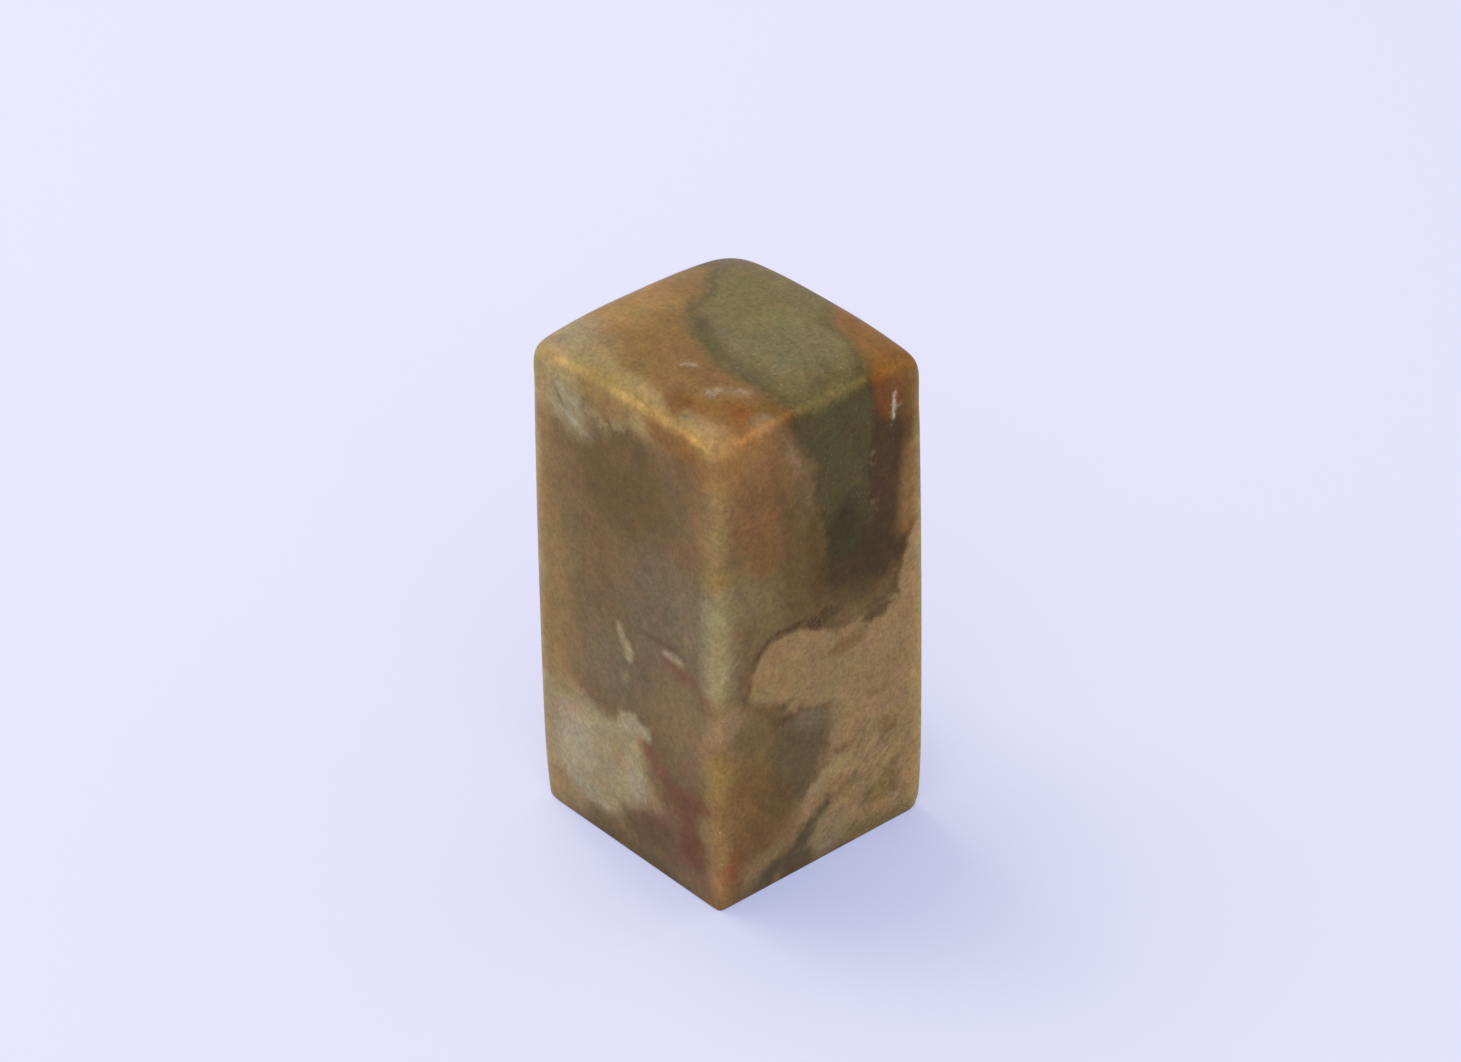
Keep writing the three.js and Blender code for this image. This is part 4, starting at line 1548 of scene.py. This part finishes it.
@dataclass(frozen=True)
class StoneGrain:
    """The fine grain of the stone: mottling, streaks, specks and hairlines, coarser where it is gritty,
    with pale specks along the edges that are painted glints.

    A pair named after a noise holds the values between which its effect comes in.
    """

    mottle_scale: float = 1.2
    mottle_share: float = 0.45
    grain_scale: float = 2.9
    grain_share: float = 0.55
    grain_swing: float = 1.38
    grain_swing_by_grit: float = 0.1
    cloud_swing: float = 0.5
    streak_slope: float = 42.0
    streak_stretch: Triple = (1.0, 0.45, 2.2)
    streak_scale: float = 0.7
    streak_swing: float = 1.1
    streak_grit: Span = (0.65, 1.0)
    veil_slope: float = 27.0
    veil_stretch: Triple = (1.0, 1.0, 0.25)
    veil_scale: float = 0.9
    veil_swing: float = 0.55
    veil_swing_by_grit: float = -0.6
    patch_scale: float = 0.35
    patch_swing: Triple = (0.36, 0.3, 0.5)
    speck_scale: float = 3.0
    dark_specks: Span = (0.36, 0.26)
    pale_specks_and_glints: Span = (0.66, 0.76)
    specks_by_grit: float = 0.3
    glints_by_edge: float = 0.6
    vein_scale: float = 0.22
    vein_middle: float = 0.52
    vein_width: float = 0.006
    vein_clouds: Span = (0.5, 0.66)
    vein_strength: float = 0.3

    def build(self) -> bpy.types.NodeTree:
        """Makes the group.

        Returns:
            The group, which takes the stone's colour and gives it with its grain, and the grain's height.
        """
        inputs = {
            "Colour": COLOUR,
            "Straight": VECTOR,
            "Place": VECTOR,
            "Cloud": FLOAT,
            "Grit": FLOAT,
            "Edge": FLOAT,
        }
        bench, given, made = new_group("stone_grain", inputs, {"Colour": COLOUR, "Height": FLOAT})
        take = given.outputs
        mottle = bench.noise(take["Straight"], self.mottle_scale, detail=4, roughness=0.62).outputs["Fac"]
        grain = bench.noise(take["Straight"], self.grain_scale, detail=2, roughness=0.6).outputs["Fac"]
        mottle = bench.math("MULTIPLY", mottle, self.mottle_share)
        height = bench.math("ADD", mottle, bench.math("MULTIPLY", grain, self.grain_share))
        tone = self._tone(bench, take, height)
        colour = bench.vector("SCALE", take["Colour"], scale=tone)
        colour = self._patches(bench, take, colour)
        colour = self._specks(bench, take, colour)
        colour = self._veins(bench, take, colour)
        bench.put(made.inputs["Colour"], colour)
        bench.put(made.inputs["Height"], height)
        return bench.tree

    def _tone(self, bench: NodeBench, take: Sockets, height: Socket) -> Socket:
        """How light or dark the grain, the clouds and the two kinds of streak make the stone.

        Args:
            bench: the group's nodes.
            take: the group's inputs.
            height: the mottling and the grain together.

        Returns:
            The factor on the stone's colour.
        """
        swing = bench.math("MULTIPLY_ADD", take["Grit"], self.grain_swing_by_grit, self.grain_swing)
        tone = bench.swing(height, swing)
        tone = bench.math("MULTIPLY", tone, bench.swing(take["Cloud"], self.cloud_swing))
        streaks = self._streaks(bench, take, self.streak_slope, self.streak_stretch, self.streak_scale, 3)
        swing = bench.math("MULTIPLY", bench.step(take["Grit"], *self.streak_grit), self.streak_swing)
        tone = bench.math("MULTIPLY", tone, bench.swing(streaks, swing))
        veils = self._streaks(bench, take, self.veil_slope, self.veil_stretch, self.veil_scale, 4)
        swing = bench.math("MULTIPLY_ADD", take["Grit"], self.veil_swing_by_grit, self.veil_swing)
        return bench.math("MULTIPLY", tone, bench.swing(veils, swing))

    def _streaks(
        self, bench: NodeBench, take: Sockets, slope: float, stretch: Triple, scale: float, detail: float
    ) -> Socket:
        """A noise drawn out along one slope of the right and left sides.

        Args:
            bench: the group's nodes.
            take: the group's inputs.
            slope: the slope, in degrees.
            stretch: how closely the noise is packed along each turned axis.
            scale: how many lumps it has in a millimetre.
            detail: how many finer layers it has.

        Returns:
            The noise.
        """
        turned = bench.add("ShaderNodeVectorRotate", rotation_type="X_AXIS")
        bench.put(turned.inputs["Vector"], take["Place"])
        bench.put(turned.inputs["Angle"], math.radians(-slope))
        drawn = bench.vector("MULTIPLY", turned.outputs["Vector"], stretch)
        return bench.noise(drawn, scale, detail=detail, roughness=0.6).outputs["Fac"]

    def _patches(self, bench: NodeBench, take: Sockets, colour: Value) -> Socket:
        """Lets the hue wander from place to place.

        Args:
            bench: the group's nodes.
            take: the group's inputs.
            colour: the stone's colour so far.

        Returns:
            The new colour.
        """
        patch = bench.noise(take["Place"], self.patch_scale, detail=4, roughness=0.6)
        hue = bench.vector("SUBTRACT", patch.outputs["Color"], MID_GREY)
        hue = bench.vector("MULTIPLY_ADD", hue, self.patch_swing, (1.0, 1.0, 1.0))
        return bench.vector("MULTIPLY", colour, hue)

    def _specks(self, bench: NodeBench, take: Sockets, colour: Value) -> Socket:
        """Strews dark specks where the stone is gritty, and pale ones there; along the edges the pale
        specks are painted glints.

        Args:
            bench: the group's nodes.
            take: the group's inputs.
            colour: the stone's colour so far.

        Returns:
            The new colour.
        """
        specks = bench.noise(take["Straight"], self.speck_scale, detail=1).outputs["Fac"]
        dark = bench.step(specks, *self.dark_specks)
        chance = bench.math("MULTIPLY", take["Grit"], self.specks_by_grit)
        colour = bench.mix_colour(bench.math("MULTIPLY", dark, chance), colour, (*Mineral.OUTLINE.value, 1))
        # Along the edges the pale specks are painted glints
        chance = bench.math("MULTIPLY_ADD", take["Edge"], self.glints_by_edge, chance)
        light = bench.math("MULTIPLY", bench.step(specks, *self.pale_specks_and_glints), chance)
        return bench.mix_colour(light, colour, (*Mineral.BONE.value, 1))

    def _veins(self, bench: NodeBench, take: Sockets, colour: Value) -> Socket:
        """Draws hairline veins along the middle level of a slow noise, in some parts of the stone.

        Args:
            bench: the group's nodes.
            take: the group's inputs.
            colour: the stone's colour so far.

        Returns:
            The new colour.
        """
        lines = bench.noise(take["Place"], self.vein_scale, detail=2, roughness=0.45).outputs["Fac"]
        away = bench.math("ABSOLUTE", bench.math("SUBTRACT", lines, self.vein_middle))
        line = bench.step(away, self.vein_width, 0.0)
        line = bench.math("MULTIPLY", line, bench.step(take["Cloud"], *self.vein_clouds))
        share = bench.math("MULTIPLY", line, self.vein_strength)
        return bench.mix_colour(share, colour, (*Mineral.PALE_OCHRE.value, 1))


@dataclass(frozen=True)
class CarvedGround:
    """The ground of the printing face, where the chisel left it dull, furrowed and pale with dust."""

    half_width: float = 10.75
    half_depth: float = 10.45
    low: float = 0.06
    high: float = 1.5
    furrow_scale: float = 1.0
    furrow_turn: float = 34.0
    furrow_stretch: Triple = (0.3, 1.6, 0.3)

    def build(self) -> bpy.types.NodeTree:
        """Makes the group.

        Returns:
            The group, which takes a point in millimetres. Its mask is 1 in the carving and 0 outside it,
            and its furrows are the chisel marks there.
        """
        outputs = {"Mask": FLOAT, "Furrows": FLOAT}
        bench, given, made = new_group("carved_ground", {"Straight": VECTOR}, outputs)
        split = bench.add("ShaderNodeSeparateXYZ")
        bench.put(split.inputs[0], given.outputs["Straight"])
        mask = bench.math("GREATER_THAN", split.outputs["Z"], self.low)
        checks = (("Z", self.high), ("X", self.half_width), ("Y", self.half_depth))
        for axis, limit in checks:
            inside = bench.math("LESS_THAN", bench.math("ABSOLUTE", split.outputs[axis]), limit)
            mask = bench.math("MULTIPLY", mask, inside)
        turned = bench.add("ShaderNodeVectorRotate", rotation_type="Z_AXIS")
        bench.put(turned.inputs["Vector"], given.outputs["Straight"])
        bench.put(turned.inputs["Angle"], math.radians(self.furrow_turn))
        long = bench.vector("MULTIPLY", turned.outputs["Vector"], self.furrow_stretch)
        furrows = bench.noise(long, self.furrow_scale, detail=3, roughness=0.55).outputs["Fac"]
        bench.put(made.inputs["Mask"], mask)
        bench.put(made.inputs["Furrows"], bench.math("MULTIPLY", furrows, mask))
        return bench.tree


@dataclass(frozen=True)
class MottledStone:
    """The finish of the seal: polished stone with mineral zones, grain, a painted glow at the edges, a
    painted highlight along the crest of the top, and a carved face.
    """

    name: str = "mottled_stone"
    ground: Mineral = Mineral.WALNUT
    ground_grit: float = 0.2
    zones: tuple[Zone, ...] = BODY_ZONES + HIDDEN_ZONES + FRONT_ZONES + RIGHT_ZONES + TOP_ZONES
    joining: float = 1.2
    # Painted light: the tint of the glow at the edges, and of the highlight along the crest
    edge_glow_tint: Triple = (1.22, 1.2, 1.12)
    crest_highlight_tint: Triple = (1.42, 1.38, 1.24)
    crest_highlight_clouds: Span = (0.3, 0.6)
    edge_glint_band: Span = (0.92, 1.0)
    dust: float = 0.35
    furrow_shade: Span = (-0.2, 0.7)
    furrow_height: float = 14.0
    roughness: float = 0.36
    roughness_by_grit: float = 0.12
    roughness_by_grain: float = 0.2
    roughness_when_carved: float = 0.35
    specular: float = 0.15
    bump_strength: float = 0.25
    bump_distance: float = 0.05 * MM

    def build(self) -> bpy.types.Material:
        """Makes the material.

        Returns:
            The material.
        """
        material = bpy.data.materials.new(self.name)
        material.use_nodes = True
        bench = NodeBench(material.node_tree)
        point = bench.add("ShaderNodeTexCoord").outputs["Object"]
        fields = bench.group(StoneFields().build(), Point=point)
        colour, grit = self._lay_zones(bench, fields)
        # Where the painted edge glow and the painted crest highlight go
        edges = bench.group(PaintedEdgeGlow().build(), Straight=fields["Straight"])
        colour = self._paint_edge_glow(bench, fields, edges, colour)
        grain = bench.group(
            StoneGrain().build(),
            Colour=colour,
            Straight=fields["Straight"],
            Place=fields["Place"],
            Cloud=fields["Cloud"],
            Grit=grit,
            Edge=bench.step(edges["Mask"], *self.edge_glint_band),
        )
        carved = bench.group(CarvedGround().build(), Straight=fields["Straight"])
        dusty = bench.mix_colour(self.dust, grain["Colour"], (*Mineral.BONE.value, 1))
        dusty = bench.vector("SCALE", dusty, scale=bench.step(carved["Furrows"], *self.furrow_shade))
        colour = bench.mix_colour(carved["Mask"], grain["Colour"], dusty)

        surface = material.node_tree.nodes["Principled BSDF"]
        bench.put(surface.inputs["Base Color"], colour)
        polish = bench.math("MULTIPLY_ADD", grit, self.roughness_by_grit, self.roughness)
        offset = bench.math("SUBTRACT", grain["Height"], 0.5)
        polish = bench.math("MULTIPLY_ADD", offset, self.roughness_by_grain, polish)
        polish = bench.math("MULTIPLY_ADD", carved["Mask"], self.roughness_when_carved, polish, clamp=True)
        bench.put(surface.inputs["Roughness"], polish)
        bump = bench.add("ShaderNodeBump")
        bump.inputs["Strength"].default_value = self.bump_strength
        bump.inputs["Distance"].default_value = self.bump_distance
        height = bench.math("MULTIPLY_ADD", carved["Furrows"], self.furrow_height, grain["Height"])
        bench.put(bump.inputs["Height"], height)
        bench.put(surface.inputs["Normal"], bump.outputs["Normal"])
        surface.inputs["Specular IOR Level"].default_value = self.specular
        return material

    def _paint_edge_glow(
        self, bench: NodeBench, fields: dict[str, Socket], edges: dict[str, Socket], colour: Value
    ) -> Socket:
        """Paints light into the colour: a paler, warmer glow at the edges, and a highlight along the crest
        of the top.

        Args:
            bench: the material's nodes.
            fields: the shared noises.
            edges: where the edges and the crest are.
            colour: the stone's colour.

        Returns:
            The colour with the painted edge glow and crest highlight.
        """
        glow_tinted = bench.mix_colour(1.0, colour, (*self.edge_glow_tint, 1), blend="MULTIPLY")
        colour = bench.mix_colour(edges["Mask"], colour, glow_tinted)
        glow = bench.mix_colour(1.0, colour, (*self.crest_highlight_tint, 1), blend="MULTIPLY")
        crest = bench.math("MULTIPLY", edges["Crest"], bench.step(fields["Cloud"], *self.crest_highlight_clouds))
        return bench.mix_colour(crest, colour, glow)

    def _lay_zones(self, bench: NodeBench, fields: dict[str, Socket]) -> tuple[Value, Value]:
        """Lays the mineral zones over the ground, in order.

        Args:
            bench: the material's nodes.
            fields: the shared noises.

        Returns:
            The colour and how gritty the stone is.
        """
        lobe_group, zone_group, rim_group = build_lobe_group(), build_zone_group(), build_rim_group()
        colour: Value = (*self.ground.value, 1)
        grit: Value = self.ground_grit
        for zone in self.zones:
            distance = None
            for lobe in zone.lobes:
                turn = tuple(math.radians(angle) for angle in lobe.turn)
                one = bench.group(
                    lobe_group, Place=fields["Place"], Middle=lobe.place, Radii=lobe.radii, Turn=turn
                )["Distance"]
                if distance is None:
                    distance = one
                else:
                    distance = bench.math("SMOOTH_MIN", distance, one, self.joining)
            laid = bench.group(
                zone_group,
                Colour=colour,
                Grit=grit,
                Distance=distance,
                Ragged=fields["Ragged"],
                Mineral=(*zone.colour.value, 1),
                Mineral_Grit=zone.grit,
                Edge=zone.edge,
                Fray=zone.ragged,
                Strength=zone.strength,
            )
            colour, grit = laid["Colour"], laid["Grit"]
            if zone.rim:
                colour = bench.group(
                    rim_group,
                    Colour=colour,
                    Distance=distance,
                    Ragged=fields["Ragged"],
                    Cloud=fields["Cloud"],
                    Mineral=(*zone.rim.colour.value, 1),
                    Inside=zone.rim.inside,
                    Width=zone.rim.width,
                    Fray=zone.rim.ragged,
                    Strength=zone.rim.strength,
                )["Colour"]
        return colour, grit


# The studio


BLOCK_MIDDLE = 25 * MM


def outward(azimuth: float, elevation: float) -> Vector:
    """The direction from the block to a place round it.

    Args:
        azimuth: the angle from the front towards the right, in degrees.
        elevation: the angle above the floor, in degrees.

    Returns:
        The direction, of length 1.
    """
    turn, rise = math.radians(azimuth), math.radians(elevation)
    return Vector((math.sin(turn) * math.cos(rise), -math.cos(turn) * math.cos(rise), math.sin(rise)))


@dataclass(frozen=True)
class PhotoCamera:
    """The photograph's own viewpoint, in degrees and metres round the middle of the block."""

    azimuth: float = 49.222
    elevation: float = 33.251
    roll: float = -0.648
    distance: float = 442.909 * MM
    focal_pixels: float = 4990.613
    aim_right: float = 0.227 * MM
    aim_up: float = 3.446 * MM
    sensor_width: float = 36.0
    nearest: float = 10 * MM
    farthest: float = 10.0

    def place(self) -> None:
        """Makes the camera and gives it to the scene."""
        back = outward(self.azimuth, self.elevation)
        level = outward(self.azimuth + 90, 0)
        roll = math.radians(self.roll)
        upright = back.cross(level)
        right = math.cos(roll) * level + math.sin(roll) * upright
        up = math.cos(roll) * upright - math.sin(roll) * level
        target = Vector((0, 0, BLOCK_MIDDLE)) + self.aim_right * right + self.aim_up * up
        data = bpy.data.cameras.new("photo_camera")
        data.sensor_fit = "HORIZONTAL"
        data.sensor_width = self.sensor_width
        data.lens = self.focal_pixels * self.sensor_width / PHOTO_WIDTH
        data.clip_start = self.nearest
        data.clip_end = self.farthest
        camera = bpy.data.objects.new("photo_camera", data)
        turned = Matrix((right, up, back)).transposed().to_4x4()
        camera.matrix_world = Matrix.Translation(target + back * self.distance) @ turned
        bpy.context.scene.collection.objects.link(camera)
        bpy.context.scene.camera = camera


@dataclass(frozen=True)
class Softbox:
    """A square soft lamp that looks at the middle of the block."""

    name: str
    azimuth: float
    elevation: float
    distance: float
    size: float
    watts: float

    def place(self, target: Vector) -> None:
        """Hangs the lamp.

        Args:
            target: the point that it looks at.
        """
        back = outward(self.azimuth, self.elevation)
        data = bpy.data.lights.new(self.name, "AREA")
        data.shape = "SQUARE"
        data.size = self.size
        data.energy = self.watts
        lamp = bpy.data.objects.new(self.name, data)
        lamp.location = target + back * self.distance
        lamp.rotation_euler = back.to_track_quat("Z", "Y").to_euler()
        bpy.context.scene.collection.objects.link(lamp)


@dataclass
class Studio:
    """The plain pale floor, the soft light and the camera."""

    floor_size: float = 6.0
    floor_roughness: float = 0.9
    bounce_colour: Triple = (0.80, 0.80, 0.80)
    seen_colour: Triple = (0.63, 0.55, 0.48)
    seen_glow: Triple = (0.17, 0.25, 0.51)
    world_strength: float = 0.62
    softboxes: tuple[Softbox, ...] = (
        Softbox("left_softbox", azimuth=-80, elevation=62, distance=0.8, size=0.5, watts=2.4),
        Softbox("camera_softbox", azimuth=52, elevation=38, distance=0.9, size=0.8, watts=1.4),
    )

    def build(self) -> None:
        """Sets up the whole studio."""
        self._lay_floor()
        self._fill_with_light()
        for softbox in self.softboxes:
            softbox.place(Vector((0, 0, BLOCK_MIDDLE)))
        PhotoCamera().place()
        bpy.context.scene.view_settings.view_transform = "Standard"

    def _lay_floor(self) -> None:
        """Lays the floor: pale lavender where it is seen, and plain grey for the light it gives back."""
        plane = bpy.ops.mesh.primitive_plane_add
        floor = add_piece("pale_floor", plane, size=self.floor_size, location=(0, 0, 0))
        material = bpy.data.materials.new("pale_floor")
        material.use_nodes = True
        bench = NodeBench(material.node_tree)
        surface = material.node_tree.nodes["Principled BSDF"]
        path = bench.add("ShaderNodeLightPath")
        seen = bench.math("MAXIMUM", path.outputs["Is Camera Ray"], path.outputs["Is Glossy Ray"])
        seen = bench.math("MAXIMUM", seen, path.outputs["Is Transmission Ray"])
        colour = bench.mix_colour(seen, (*self.bounce_colour, 1), (*self.seen_colour, 1))
        bench.put(surface.inputs["Base Color"], colour)
        bench.put(surface.inputs["Emission Color"], (*self.seen_glow, 1))
        bench.put(surface.inputs["Emission Strength"], seen)
        surface.inputs["Roughness"].default_value = self.floor_roughness
        surface.inputs["Specular IOR Level"].default_value = 0.0
        floor.data.materials.append(material)

    def _fill_with_light(self) -> None:
        """Makes the world a plain white light."""
        world = bpy.data.worlds.new("soft_room")
        bpy.context.scene.world = world
        world.use_nodes = True
        background = world.node_tree.nodes["Background"]
        background.inputs["Color"].default_value = (1, 1, 1, 1)
        background.inputs["Strength"].default_value = self.world_strength


def main() -> None:
    """Builds the studio and the stone."""
    logging.basicConfig(level=logging.INFO, format="%(name)s: %(message)s")
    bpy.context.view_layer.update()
    Studio().build()
    stone = SealStone().build()
    material = MottledStone().build()
    stone.data.materials.append(material)
    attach(stone, "root")
    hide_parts("seal_stone")
    log.info("%s: %d faces", stone.name, len(stone.data.polygons))


if __name__ == "__main__":
    main()
